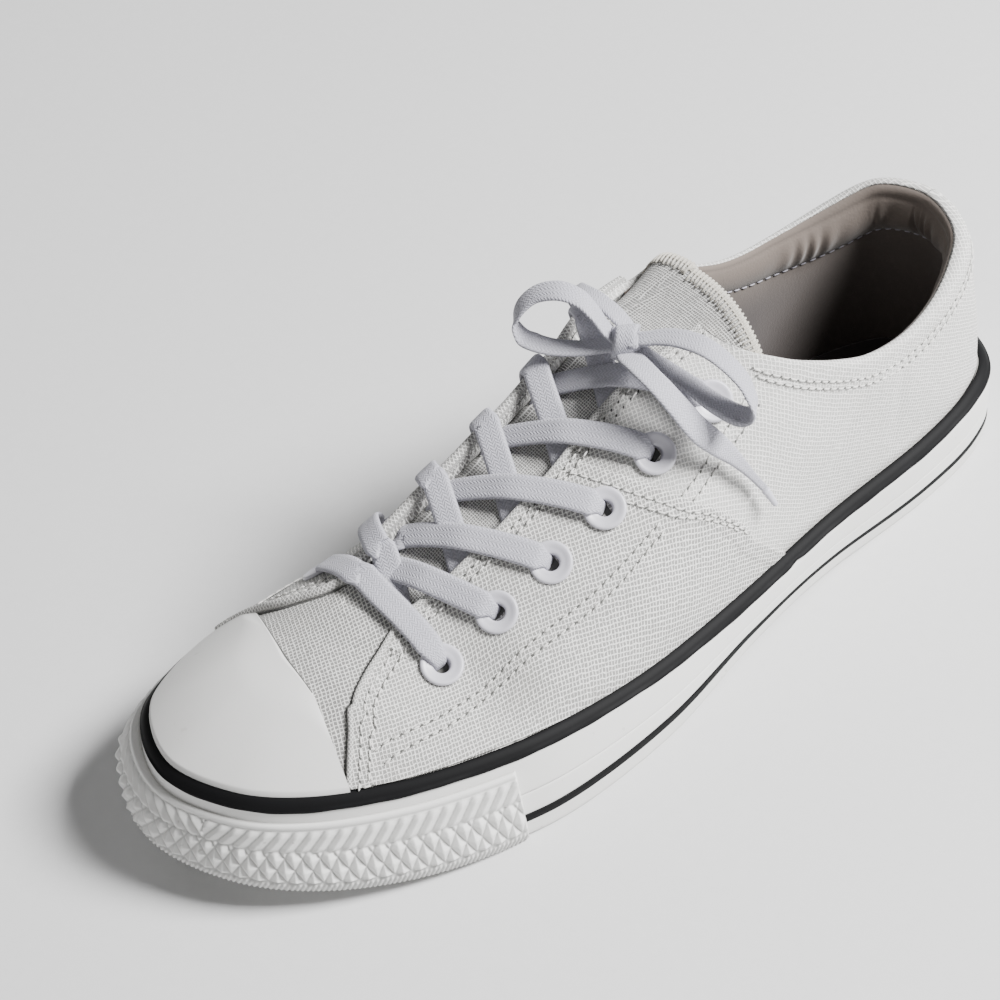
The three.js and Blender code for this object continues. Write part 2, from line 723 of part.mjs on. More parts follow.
function makeLace(paths) {
  const bands = paths.map((rows) => {
    const spline = new THREE.CatmullRomCurve3(rows.map(([x, y, h]) => new THREE.Vector3(x, y, h)));
    const samples = spline.getPoints(9).map((p) => surfaceAt(p.x, p.y, p.z));
    return ribbon(samples.map((sample) => sample.point), samples.map((sample) => sample.normal));
  });
  return bands.reduce((joined, next) => joined.add(next));
}

function makeKnot() {
  const ball = new THREE.SphereGeometry(1, 14, 10).scale(KNOT.long, KNOT.deep, KNOT.high);
  return ball.translate(KNOT.x, KNOT.y, KNOT.z);
}

// One loop or end of the bow, as a plain flat lace.
function makeBowPart({ points, width }) {
  const steps = 3 * points.length;
  const spline = new THREE.CatmullRomCurve3(points.map((point) => new THREE.Vector3(...point)));
  const path = spline.getSpacedPoints(steps);
  const start = new THREE.Vector3(...width.start);
  const end = new THREE.Vector3(...width.end);
  const normals = path.map((_, i) => {
    const across = start.clone().lerp(end, i / steps);
    return new THREE.Vector3().crossVectors(across, spline.getTangentAt(i / steps)).normalize();
  });
  return toGeometry(ribbon(path, normals));
}

function makeAglet() {
  const from = new THREE.Vector3(...AGLET.from);
  const along = new THREE.Vector3(...AGLET.to).sub(from);
  const length = along.length();
  const cone = new THREE.CylinderGeometry(AGLET.tip, AGLET.radius, length, 10);
  cone.rotateX(Math.PI / 2).translate(0, 0, length / 2);
  return cone.applyMatrix4(stand(from, along.normalize()));
}

// ---------------------------------------------------------------- finishes and assembly
const finish = (color, roughness) => new THREE.MeshStandardMaterial({ color, roughness, metalness: 0 });
const FINISH = {
  canvas: finish("#d9d8d4", 0.95),
  tongue: finish("#cfcdc9", 0.95),
  rubber: finish("#eeeeec", 0.45),
  insole: finish("#c9c7c8", 0.9),
  enamel: finish("#c6c7cf", 0.35),
  lace: finish("#c9c9d0", 0.85),
  aglet: finish("#dedee2", 0.3),
};

const sneaker = new THREE.Group();
sneaker.position.set(CENTRE.x, CENTRE.y, 0);
function addPiece(name, geometry, material) {
  const mesh = new THREE.Mesh(geometry, material);
  mesh.name = name;
  sneaker.add(mesh);
}

addPiece("outsole", toGeometry(makeOutsole()), FINISH.rubber);
addPiece("foxing", toGeometry(makeFoxing()), FINISH.rubber);
addPiece("toe_bumper", toGeometry(makeBumper()), FINISH.rubber);
addPiece("insole", toGeometry(makeInsole()), FINISH.insole);
addPiece("upper", toGeometry(makeUpper()), FINISH.canvas);
addPiece("toe_cap", toGeometry(makeToeCap()), FINISH.rubber);
addPiece("tongue", toGeometry(makeTongue()), FINISH.tongue);
for (const spot of eyeletPlaces()) {
  addPiece(spot.name, makeEyelet(spot), FINISH.enamel);
}
addPiece("lace_bar", toGeometry(makeLace([barPath()])), FINISH.lace);
for (let row = 0; row + 1 < EYELETS.length; row += 1) {
  addPiece(`lace_crossing_${row + 1}`, toGeometry(makeLace(crossPaths(row))), FINISH.lace);
}
addPiece("lace_knot", makeKnot(), FINISH.lace);
for (const part of BOW) addPiece(part.name, makeBowPart(part), FINISH.lace);
addPiece("lace_aglet", makeAglet(), FINISH.aglet);

export default sneaker;
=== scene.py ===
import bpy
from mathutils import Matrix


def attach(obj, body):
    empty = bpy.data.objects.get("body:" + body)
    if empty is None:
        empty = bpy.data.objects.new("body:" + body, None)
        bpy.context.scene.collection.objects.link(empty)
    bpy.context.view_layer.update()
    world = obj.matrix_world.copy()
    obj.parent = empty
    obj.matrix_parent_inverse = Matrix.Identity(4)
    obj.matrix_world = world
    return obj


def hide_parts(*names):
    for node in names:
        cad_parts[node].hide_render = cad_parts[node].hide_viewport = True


bl_info = {
    "name": "Canvas sneaker",
    "version": (1, 0, 0),
    "blender": (4, 5, 0),
    "location": "View3D > Sidebar > Sneaker",
    "description": "Builds a left canvas low-top sneaker around its packed CAD model",
    "category": "Object",
}

import math

import bmesh
import bpy
import numpy as np
from mathutils import Matrix, Vector

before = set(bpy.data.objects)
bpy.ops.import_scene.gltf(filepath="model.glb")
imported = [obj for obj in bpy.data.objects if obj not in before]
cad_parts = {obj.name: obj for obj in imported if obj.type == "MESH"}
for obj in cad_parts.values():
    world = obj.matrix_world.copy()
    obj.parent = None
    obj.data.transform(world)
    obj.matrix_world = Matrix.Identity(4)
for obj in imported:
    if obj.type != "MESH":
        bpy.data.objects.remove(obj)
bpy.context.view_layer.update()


# ---------------------------------------------------------------- the shoe's own sizes
# Millimetres, in the part's own axes: toe towards -Y, the lateral side towards +X.
CENTRE = np.array([2.38, 0.1, 0.0])  # the part's shift to its bounding box's centre
GAP = 0.3  # between pieces that touch
UPPER_INSET = 3.7  # the upper's foot, inside the outline
SKIRT_INSET = 4.7  # the hidden hem of the upper, inside the outline
SKIRT_DROP = 3.0  # how far the hem goes down behind the sidewall
FLANGE = 5.2  # height of the outsole's edge
CORE = 9.0  # height of the outsole's core, which carries the footbed
INSOLE_THICK = 4.0
TONGUE_DROP = 3.1  # the tongue's top face, below the upper's
TONGUE_THICK = 3.0
TOE_POLE = -91.0  # the ridge's ends, where the sections turn round toe and heel
HEEL_POLE = 111.0
RIDGE_SOFT = 0.1  # share of the half width over which the ridge is rounded
EYELET_CLEAR = 2.9  # radius of the canvas left open under each eyelet
RIM_ROUND = 0.9  # width of the rounding at the edge of a quarter or of the toe cap
BRAID_HALF = 3.8  # half the width over which the lace's plait is drawn
LACE_THICK = 1.25
SPLINE_STEPS = 40  # fine points in each span of a curve, before they are spaced evenly
HALVINGS = 30  # steps of a search by halves for an edge on the surface

OUTLINE = [  # y, medial x, lateral x
    (137.5, -21, 19.5), (123.5, -31, 29), (99.5, -36, 34), (61.5, -36, 36.5), (24.5, -36, 42),
    (-13.5, -40, 47.5), (-46.5, -46.5, 48.5), (-69.5, -49, 44.5), (-93.5, -48.5, 36),
    (-114.5, -43.5, 23.5), (-128.5, -34, 8),
]
HEEL_TIP = (-1, 144)
TOE_TIP = (-13.5, -135.5)
SIDEWALL = [  # y, height of the top edge, flare of the foot
    (-136, 33.5, 4.0), (-93, 31.5, 3.4), (-51, 29.5, 2.8), (-15, 25.5, 1.5), (24, 23, -1.5),
    (80, 23.5, -2.5), (144, 26, -1.5),
]
LAST = [  # y, ridge height, ridge x, lateral crown and side, medial crown and side
    (-136, 43, -12, 2.2, 0.97, 2.2, 0.97), (-91, 48.5, -9, 2.2, 0.97, 2.2, 0.97),
    (-62, 55, -13, 1.6, 1.1, 1.4, 0.9), (-45, 61.5, -15, 1.7, 0.7, 1.15, 0.85),
    (-27, 68, -15.5, 2, 0.54, 1.15, 0.8), (-8, 75, -15.5, 2.3, 0.43, 1.15, 0.8),
    (11, 82, -16, 2.6, 0.37, 1.5, 0.7), (33, 88.5, -16, 3, 0.36, 3.2, 0.45),
    (55, 94, -9, 3.6, 0.28, 3.8, 0.26), (80, 98, -4, 4, 0.25, 4, 0.25), (111, 98, -1.5, 4, 0.25, 4, 0.25),
]
THROAT = [  # y, medial x, lateral x
    (-71, -11, -5), (-66, -16, 1), (-56, -17.5, 4.5), (-32, -16.5, 6.5), (-12, -16, 6.5),
    (6, -17, 5), (20, -20.5, 4.5), (36, -25, 6.5), (52, -27.5, 9.5), (70, -28, 12),
]
TOP_LINE = [  # y, lateral z, medial z
    (40, 91, 104), (43, 87.5, 101), (47, 84.8, 97), (52, 82.2, 90), (58, 78.5, 82), (64, 75, 76.5),
    (71, 71, 71.5), (81, 66.3, 66.5), (91, 64.3, 64.3), (101, 64.3, 64.3), (111, 66, 66),
    (120, 69, 69), (128, 72.5, 72.5), (134, 75, 75), (139, 76, 76), (150, 76, 76),
]
CAP_EDGE = [  # x, y along the toe cap's rear edge
    (-60, -78), (-46, -81.5), (-32, -87.5), (-11, -93.5), (6, -96), (16, -98), (23, -100), (29, -104),
    (40, -114),
]
TONGUE_MEDIAL = [(-22, -74), (-24.5, -40), (-21.5, -20), (-21.5, 0), (-22, 20), (-26.5, 44), (-28, 52.5)]
TONGUE_LATERAL = [(8, -74), (17, -40), (20, 0), (23, 36), (26, 50)]
EYELETS = [  # y, lateral x, medial x
    (-65, 19, -32), (-45.5, 20.6, -31), (-27, 22.3, -27.5), (-7.8, 23, -26.5), (11, 22.5, -27),
    (32, 22.3, -30),
]
FRONT_EDGE = {  # the quarter's front edge in plan, from the sidewall to the throat
    "lateral": [(28.5, -105), (19, -95), (13.5, -90), (10, -83), (7.5, -76), (5, -69), (4, -62), (4, -58)],
    "medial": [
        (-46.5, -96), (-42, -91), (-35.5, -86), (-28, -82), (-23.5, -78), (-19.5, -73.5), (-17, -69),
        (-15.5, -65.5),
    ],
}
REAR_EDGE = {  # the quarter's rear edge in plan, from the sidewall to the throat
    "lateral": [(38, 44), (37, 29), (35.5, 20), (33, 13), (26.5, 5.5), (18, -0.5), (12, -4), (6, -8)],
    "medial": [(-32, 42), (-31.5, 31), (-30, 20), (-28, 12), (-25, 5), (-21.5, -1), (-19, -4), (-16, -8)],
}
FACING_SEAM = {  # the inner and outer rows that run below the eyelets, from the toe end upwards
    "lateral": (
        [(25, -93), (28, -77), (29, -64), (30.5, -48), (33, -27), (33.5, -15), (33, -1), (32, 10),
         (30.5, 20), (28.5, 28), (26, 43)],
        [(28.5, -92.5), (31, -75), (31.5, -60), (32.5, -50), (35, -29), (35.5, -15), (34.5, -1), (33.5, 13),
         (32, 21.5), (30.5, 30), (28.5, 43)],
    ),
    "medial": (
        [(-43, -82), (-40, -55), (-36, -25), (-34.5, -10), (-34, 5), (-34, 30), (-33.5, 41)],
        [(-44.5, -80), (-41.5, -55), (-37.5, -25), (-36, -10), (-35, 5), (-35, 30), (-34.5, 41)],
    ),
}
BOW = {  # the four free laces' routes, as in the CAD, from the knot outwards
    "lace_loop_left": [
        (-4.5, 19, 95.5), (-8, 18.5, 99), (-12.5, 17.5, 102), (-18, 15, 103), (-23.5, 11.5, 101),
        (-26, 7.5, 97.5), (-26.5, 5.5, 93.5), (-23.5, 5, 90.5), (-19.5, 6, 89.5), (-15, 8.5, 89),
        (-10.5, 12, 89), (-7, 15, 89.5),
    ],
    "lace_loop_right": [
        (6.5, 24, 95), (10.5, 26.5, 96.5), (16.5, 28.5, 98), (23.5, 30, 98.5), (30, 31, 97),
        (36, 31.5, 94), (40, 31, 90.5), (42, 30, 87.5), (41, 28.8, 85.7), (38, 27.8, 84.8),
        (33, 27, 84.8), (28, 26.4, 85.3), (22, 25.8, 86.6), (15, 24.8, 88), (9.5, 23.5, 89.5),
    ],
    "lace_end_lateral": [
        (6.5, 18, 92.4), (11, 16.8, 93.4), (16.5, 16, 93.4), (22, 16, 91.8), (27.4, 16.8, 87.8),
        (31.4, 19, 81.5), (33.8, 23, 75), (35.2, 27.2, 68.2), (36.5, 30.2, 62.3), (37.5, 32.6, 57.4),
        (38.2, 34, 54.6),
    ],
    "lace_end_medial": [
        (-2.5, 24.5, 94), (-8, 25, 95.2), (-14.5, 25.2, 95.6), (-20, 25.5, 94.6), (-25.5, 26.5, 92),
        (-30.5, 29, 87.5), (-34, 31.5, 81), (-36.5, 34.5, 73), (-37.2, 37.5, 66), (-37, 40, 60),
    ],
}
BOW_WIDTH = {  # the direction across each lace, at the knot and at its last point
    "lace_loop_left": ((0.77, -0.63, -0.05), (0.77, -0.63, -0.05)),
    "lace_loop_right": ((0.6, -0.79, 0.1), (0.77, -0.63, -0.1)),
    "lace_end_lateral": ((0.3, -0.9, 0.3), (0.05, -0.94, -0.33)),
    "lace_end_medial": ((0.35, -0.9, 0.2), (0, -1, 0)),
}
KNOT = (1.6, 20.8, 93)
AGLETS = {  # from, to
    "lace_tip_lateral": ((38.5, 34.4, 53.6), (39.8, 36.6, 47.2)),
    "lace_tip_medial": ((-37, 40.1, 60.4), (-37.3, 40.9, 53.4)),
}


def metres(points):
    return (np.asarray(points, float) + CENTRE) / 1000


# ---------------------------------------------------------------- curves
class Smooth:
    """A smooth curve through rows of a position and a value."""

    def __init__(self, rows, column=1):
        rows = sorted(rows, key=lambda row: row[0])
        self.at = np.array([row[0] for row in rows], float)
        self.value = np.array([row[column] for row in rows], float)
        low = np.maximum(np.arange(len(rows)) - 1, 0)
        high = np.minimum(np.arange(len(rows)) + 1, len(rows) - 1)
        self.slope = (self.value[high] - self.value[low]) / (self.at[high] - self.at[low])

    def __call__(self, where):
        y = np.clip(where, self.at[0], self.at[-1])
        i = np.clip(np.searchsorted(self.at, y, "right") - 1, 0, len(self.at) - 2)
        span = self.at[i + 1] - self.at[i]
        t = (y - self.at[i]) / span
        ease = t * t * (3 - 2 * t)
        rise = self.slope[i] * span * t * (1 - t) ** 2 - self.slope[i + 1] * span * t * t * (1 - t)
        return self.value[i] * (1 - ease) + self.value[i + 1] * ease + rise


def spline(points, count, closed=False):
    """Points at equal steps along a Catmull-Rom curve."""
    p = np.asarray(points, float)
    n = len(p)
    if closed:
        q = np.vstack([p[-1:], p, p[:2]])
    else:
        q = np.vstack([2 * p[0] - p[1], p, 2 * p[-1] - p[-2]])
    spans = n if closed else n - 1
    fine = []
    for i in range(spans):
        a, b, c, d = q[i], q[i + 1], q[i + 2], q[i + 3]
        t = np.linspace(0, 1, SPLINE_STEPS, endpoint=False)[:, None]
        fine.append(
            0.5 * (2 * b + (c - a) * t + (2 * a - 5 * b + 4 * c - d) * t**2 + (3 * b - a - 3 * c + d) * t**3)
        )
    fine.append(p[:1] if closed else p[-1:])
    return resample(np.vstack(fine), count)


def lengths(points):
    """Distance along a path at each of its points."""
    return np.concatenate([[0], np.cumsum(np.linalg.norm(np.diff(points, axis=0), axis=1))])


def runs_down(points):
    """Distance down each column of a grid of points, row after row."""
    steps = np.linalg.norm(np.diff(points, axis=0), axis=-1)
    return np.concatenate([np.zeros_like(steps[:1]), np.cumsum(steps, axis=0)])


def sample(at, run, *tables):
    """Each table of vectors, read at distance at along its path."""
    return [np.array([np.interp(at, run, table[:, k]) for k in range(3)]) for table in tables]


def resample(points, count):
    """Points at equal steps along a path."""
    run = lengths(points)
    wanted = np.linspace(0, run[-1], count)
    return np.stack([np.interp(wanted, run, points[:, k]) for k in range(points.shape[1])], 1)


def smoothstep(value, low=0.0, high=1.0):
    t = np.clip((value - low) / (high - low), 0, 1)
    return t * t * (3 - 2 * t)


def unit(vectors):
    size = np.linalg.norm(vectors, axis=-1, keepdims=True)
    return vectors / np.maximum(size, 1e-9)


wall_top = Smooth(SIDEWALL, 1)
wall_flare = Smooth(SIDEWALL, 2)
ridge_z = Smooth(LAST, 1)
ridge_x = Smooth(LAST, 2)
crown = {"lateral": Smooth(LAST, 3), "medial": Smooth(LAST, 5)}
side_power = {"lateral": Smooth(LAST, 4), "medial": Smooth(LAST, 6)}
throat_x = {"medial": Smooth(THROAT, 1), "lateral": Smooth(THROAT, 2)}
top_line = {"lateral": Smooth(TOP_LINE, 1), "medial": Smooth(TOP_LINE, 2)}
cap_y = Smooth(CAP_EDGE, 1)


def ring_points():
    """The sidewall's outline in plan, from the heel round the lateral side and back."""
    lateral = [(row[2], row[0]) for row in OUTLINE]
    medial = [(row[1], row[0]) for row in reversed(OUTLINE)]
    return spline([HEEL_TIP, *lateral, TOE_TIP, *medial], 2401, closed=True)


RING = ring_points()
RING_U = np.linspace(0, 1, len(RING))
RING_LENGTH = lengths(RING)[-1]
TURN = unit(np.roll(RING[:-1], -1, 0) - np.roll(RING[:-1], 1, 0))
TURN = np.vstack([TURN, TURN[:1]])
TOE_STEP = int(np.argmin(RING[:, 1]))


def place(u):
    """Points of the outline at share u of its length, with the direction out of the shoe."""
    u = np.mod(u, 1.0)
    x = np.interp(u, RING_U, RING[:, 0])
    y = np.interp(u, RING_U, RING[:, 1])
    out = unit(np.stack([-np.interp(u, RING_U, TURN[:, 1]), np.interp(u, RING_U, TURN[:, 0])], -1))
    return x, y, out


def u_at(side, y):
    """Where the outline crosses y on one side."""
    if side == "lateral":
        return np.interp(-np.asarray(y, float), -RING[: TOE_STEP + 1, 1], RING_U[: TOE_STEP + 1])
    return np.interp(np.asarray(y, float), RING[TOE_STEP:, 1], RING_U[TOE_STEP:])


def sole_bottom(y):
    """Height of the sole's underside: toe spring, heel bevel and arch."""
    toe = 11.0 * np.clip((y + 51) / (-136 + 51), 0, 1.1) ** 2
    heel = 1.2 * np.clip((y - 118) / 26, 0, 1.1) ** 2
    away = np.minimum(np.abs(y - 38) / 52, 1)
    return toe + heel + 2.4 * np.cos(away * math.pi / 2) ** 2


def wall_out(y, z):
    """How far the sidewall's face stands out of the outline at height z."""
    shoulder = wall_top(y) - 4
    return wall_flare(y) * np.maximum((shoulder - z) / (shoulder - sole_bottom(y)), 0)


def ring_at(u, out, z):
    x, y, way = place(u)
    return np.stack([x + way[..., 0] * out, y + way[..., 1] * out, z + 0 * x], -1)


# ---------------------------------------------------------------- the last
def foot_of(u, inset=UPPER_INSET):
    """Where the upper's section at place u starts, its end of the ridge and the sidewall's height."""
    x, y, way = place(u)
    fx, fy = x - way[..., 0] * inset, y - way[..., 1] * inset
    pole = np.clip(fy, TOE_POLE, HEEL_POLE)
    return fx, fy, pole, ridge_x(pole), wall_top(y)


def on_last(u, across, shell=0.0):
    """The upper's surface: u round the shoe, across 0 on the ridge and 1 on the sidewall, shell inside."""
    fx, fy, pole, rx, top = foot_of(u, UPPER_INSET + shell)
    lateral = fx > rx
    power = np.where(lateral, crown["lateral"](pole), crown["medial"](pole))
    side = np.where(lateral, side_power["lateral"](pole), side_power["medial"](pole))
    a = np.clip(across, 0, 1)
    px = rx + (fx - rx) * a
    py = pole + (fy - pole) * a
    soft = ((a**2 + RIDGE_SOFT**2) ** (power / 2) - RIDGE_SOFT**power) / (
        (1 + RIDGE_SOFT**2) ** (power / 2) - RIDGE_SOFT**power
    )
    rise = (1 - np.clip(soft, 0, 1)) ** side
    z = top + (ridge_z(py) - shell - top) * rise
    return np.stack([px, py, z], -1)


def skin(u, across, lift=0.0, shell=0.0):
    """Points on the last's surface with their outward normals, lifted along them."""
    u, across = np.broadcast_arrays(np.asarray(u, float), np.asarray(across, float))
    across_step = 0.012
    a = np.clip(across, across_step, 0.985)
    step = 0.9 / RING_LENGTH
    along = on_last(u + step, a, shell) - on_last(u - step, a, shell)
    over = on_last(u, a + across_step, shell) - on_last(u, a - across_step, shell)
    normal = unit(np.cross(along, over))
    fx, fy, pole, rx, _ = foot_of(u, UPPER_INSET + shell)
    away = np.stack([fx - rx, fy - pole, 0 * fx + 12.0], -1)
    normal = normal * np.where((normal * away).sum(-1, keepdims=True) < 0, -1, 1)
    return on_last(u, across, shell) + normal * np.asarray(lift)[..., None], normal


def locate(x, y, shell=0.0):
    """The place round the shoe and the share across of the surface point above (x, y)."""
    x, y = np.asarray(x, float), np.asarray(y, float)
    pole = np.clip(y, TOE_POLE, HEEL_POLE)
    rx = ridge_x(pole)
    u = np.where(x > rx, u_at("lateral", y), u_at("medial", y))
    for pole_y, sign in ((TOE_POLE, -1), (HEEL_POLE, 1)):
        ends = (y - pole_y) * sign > 0
        if ends.any():
            px = float(ridge_x(pole_y))
            fan = np.linspace(u_at("lateral", pole_y), u_at("medial", pole_y), 400)
            if sign > 0:
                fan = np.linspace(u_at("medial", pole_y) - 1, u_at("lateral", pole_y), 400)
            fx, fy, _, _, _ = foot_of(fan, UPPER_INSET + shell)
            angle = np.arctan2((fy - pole_y) * sign, fx - px)
            order = np.argsort(angle)
            mine = np.arctan2((y - pole_y) * sign, x - px)
            u = np.where(ends, np.interp(mine, angle[order], fan[order]), u)
    fx, fy, pole, rx, _ = foot_of(u, UPPER_INSET + shell)
    reach = np.hypot(fx - rx, fy - pole)
    return u, np.hypot(x - rx, y - np.clip(y, TOE_POLE, HEEL_POLE)) / reach


def above(x, y, lift=0.0, shell=0.0):
    """The surface point above (x, y) and its normal, lifted along it."""
    u, a = locate(x, y, shell)
    return skin(u, a, lift, shell)


def edge_across(u):
    """The share across at which the canvas ends: on the ridge, at the throat or at the top line."""
    u = np.asarray(u, float)
    fx, fy, _, rx, _ = foot_of(u)
    lateral = fx > rx
    edge = np.where(lateral, throat_x["lateral"](fy), throat_x["medial"](fy))
    throat = np.abs((edge - rx) / (fx - rx)) * smoothstep(fy, -73, -70.5)
    throat = np.where(fy > 70, 0, throat)
    low, high = np.zeros_like(u), np.ones_like(u)
    for _ in range(HALVINGS):
        middle = (low + high) / 2
        point = on_last(u, middle)
        line = np.where(lateral, top_line["lateral"](point[..., 1]), top_line["medial"](point[..., 1]))
        over = point[..., 2] > line
        low = np.where(over, middle, low)
        high = np.where(over, high, middle)
    line = np.where(fy > 38, high, 0)
    line = np.where(line < 1e-6, 0, line)
    return np.maximum(throat, line)


def even_across(u, first, last, rows):
    """Shares across, one row after another at equal steps along the surface from first to last."""
    share = np.sin(np.linspace(0, math.pi / 2, 90))[:, None]
    across = first + (last - first) * share
    points = on_last(np.broadcast_to(u, across.shape), across)
    run = runs_down(points)
    out = np.empty((rows, across.shape[1]))
    for k in range(across.shape[1]):
        out[:, k] = np.interp(np.linspace(0, run[-1, k], rows), run[:, k], across[:, k])
    return out


def cloth_coordinates(points):
    """Where each point lies on the flat cloth: across from the ridge and along the shoe."""
    x, y, z = points[..., 0], points[..., 1], points[..., 2]
    away = np.hypot(x - ridge_x(y), ridge_z(y) - z)
    return np.stack([away * np.sign(x - ridge_x(y)), y], -1)


# ---------------------------------------------------------------- meshes
def build(name, points, faces, material, nodes=(), cloth=None, merge=False):
    """A mesh piece from points in millimetres, riding on the shoe's body."""
    mesh = bpy.data.meshes.new(name)
    mesh.from_pydata(metres(points).tolist(), [], faces)
    if cloth is not None:
        layer = mesh.attributes.new("cloth", "FLOAT_VECTOR", "POINT")
        flat = np.zeros((len(cloth), 3), np.float32)
        flat[:, : cloth.shape[1]] = cloth
        layer.data.foreach_set("vector", flat.ravel())
    work = bmesh.new()
    work.from_mesh(mesh)
    if merge:
        bmesh.ops.remove_doubles(work, verts=work.verts, dist=0.00003)
    loose = [vertex for vertex in work.verts if not vertex.link_faces]
    bmesh.ops.delete(work, geom=loose, context="VERTS")
    bmesh.ops.recalc_face_normals(work, faces=work.faces)
    work.to_mesh(mesh)
    work.free()
    mesh.polygons.foreach_set("use_smooth", [True] * len(mesh.polygons))
    piece = bpy.data.objects.new(name, mesh)
    bpy.context.scene.collection.objects.link(piece)
    mesh.materials.append(material)
    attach(piece, "root")
    if nodes:
        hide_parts(*nodes)
    return piece


def drilled(points, faces):
    """The faces that leave the eyelets' holes open."""
    centres = points[np.array(faces)].mean(axis=1)
    keep = np.ones(len(faces), bool)
    for y, lateral, medial in EYELETS:
        for x in (lateral, medial):
            middle, _ = above(np.array([x]), np.array([y]))
            keep &= np.linalg.norm(centres - middle[0], axis=1) > EYELET_CLEAR
    return [face for face, kept in zip(faces, keep) if kept]


def grid_faces(rows, columns, wrap_rows=False, wrap_columns=False):
    """The four-sided faces of a grid of points."""
    r = np.arange(rows if wrap_rows else rows - 1)
    c = np.arange(columns if wrap_columns else columns - 1)
    r, c = np.meshgrid(r, c, indexing="ij")
    up, on = (r + 1) % rows, (c + 1) % columns
    quads = np.stack([r * columns + c, r * columns + on, up * columns + on, up * columns + c], -1)
    return quads.reshape(-1, 4).tolist()


def end_faces(rows, columns):
    """The two ends of a closed section whose columns go round it."""
    return [list(range(columns)), list(range((rows - 1) * columns, rows * columns))]


def grid(name, points, material, nodes=(), cloth=None, wrap_rows=False, wrap_columns=False, caps=False):
    """A piece from a grid of points."""
    rows, columns = points.shape[:2]
    faces = grid_faces(rows, columns, wrap_rows, wrap_columns)
    if caps:
        faces += end_faces(rows, columns)
    flat = None if cloth is None else cloth.reshape(-1, cloth.shape[-1])
    return build(name, points.reshape(-1, 3), faces, material, nodes, flat)


def join(parts):
    """One set of points, faces and cloth coordinates from several."""
    points, faces, cloth = [], [], []
    start = 0
    for part_points, part_faces, part_cloth in parts:
        points.append(part_points)
        faces.extend([[k + start for k in face] for face in part_faces])
        cloth.append(part_cloth)
        start += len(part_points)
    return np.vstack(points), faces, np.vstack(cloth)


def frames_along(path, normals=None):
    """Unit vectors along, across and up at each point of a path."""
    along = unit(np.gradient(path, axis=0))
    if normals is None:
        up = np.tile([0.0, 0.0, 1.0], (len(path), 1))
    else:
        up = normals
    across = unit(np.cross(along, up))
    up = unit(np.cross(across, along))
    return along, across, up


def tube_parts(path, radius, sides, normals=None, flat=1.0):
    """A round section swept along a path, flattened along the normals if asked."""
    _, across, up = frames_along(path, normals)
    turn = np.linspace(0, 2 * math.pi, sides, endpoint=False)
    radius = np.broadcast_to(radius, len(path))[:, None, None]
    ring = across[:, None] * np.cos(turn)[None, :, None] + up[:, None] * np.sin(turn)[None, :, None] * flat
    points = path[:, None] + ring * radius
    run = lengths(path)
    cloth = np.stack(np.broadcast_arrays(run[:, None], turn[None, :]), -1)
    faces = grid_faces(len(path), sides, wrap_columns=True) + end_faces(len(path), sides)
    return points.reshape(-1, 3), faces, cloth.reshape(-1, 2)


def lace_parts(path, normals, width, thick, across_cells):
    """A flat woven lace: a section with rounded sides swept along a path."""
    _, across, up = frames_along(path, normals)
    s = np.linspace(-1, 1, across_cells + 1)
    edge = np.sqrt(np.maximum(1 - np.abs(s) ** 5, 0.0))
    section = np.concatenate([np.stack([s, edge], 1), np.stack([s[::-1], -edge[::-1]], 1)[1:-1]])
    width = np.broadcast_to(width, len(path))[:, None]
    thick = np.broadcast_to(thick, len(path))[:, None]
    a = section[None, :, 0] * width / 2
    b = section[None, :, 1] * thick / 2
    points = path[:, None] + across[:, None] * a[..., None] + up[:, None] * b[..., None]
    run = np.broadcast_to(lengths(path)[:, None], a.shape)
    cloth = np.stack([run, section[None, :, 0] * BRAID_HALF + 0 * a], -1)
    count = len(section)
    faces = grid_faces(len(path), count, wrap_columns=True) + end_faces(len(path), count)
    return points.reshape(-1, 3), faces, cloth.reshape(-1, 2)


def piece_from(name, parts, material, nodes=()):
    """One piece from several sets of points, faces and cloth coordinates."""
    points, faces, cloth = join(parts)
    return build(name, points, faces, material, nodes, cloth)


# ---------------------------------------------------------------- materials
class Value:
    """A shader socket that Python's arithmetic works on."""

    def __init__(self, paint, socket):
        self.paint = paint
        self.socket = socket

    def math(self, operation, *others):
        inputs = dict(enumerate((self, *others)))
        return self.paint.node("ShaderNodeMath", {"operation": operation}, inputs)

    def __add__(self, other):
        return self.math("ADD", other)

    __radd__ = __add__

    def __sub__(self, other):
        return self.math("SUBTRACT", other)

    def __rsub__(self, other):
        return self.paint.node("ShaderNodeMath", {"operation": "SUBTRACT"}, {0: other, 1: self})

    def __mul__(self, other):
        return self.math("MULTIPLY", other)

    __rmul__ = __mul__

    def __truediv__(self, other):
        return self.math("DIVIDE", other)


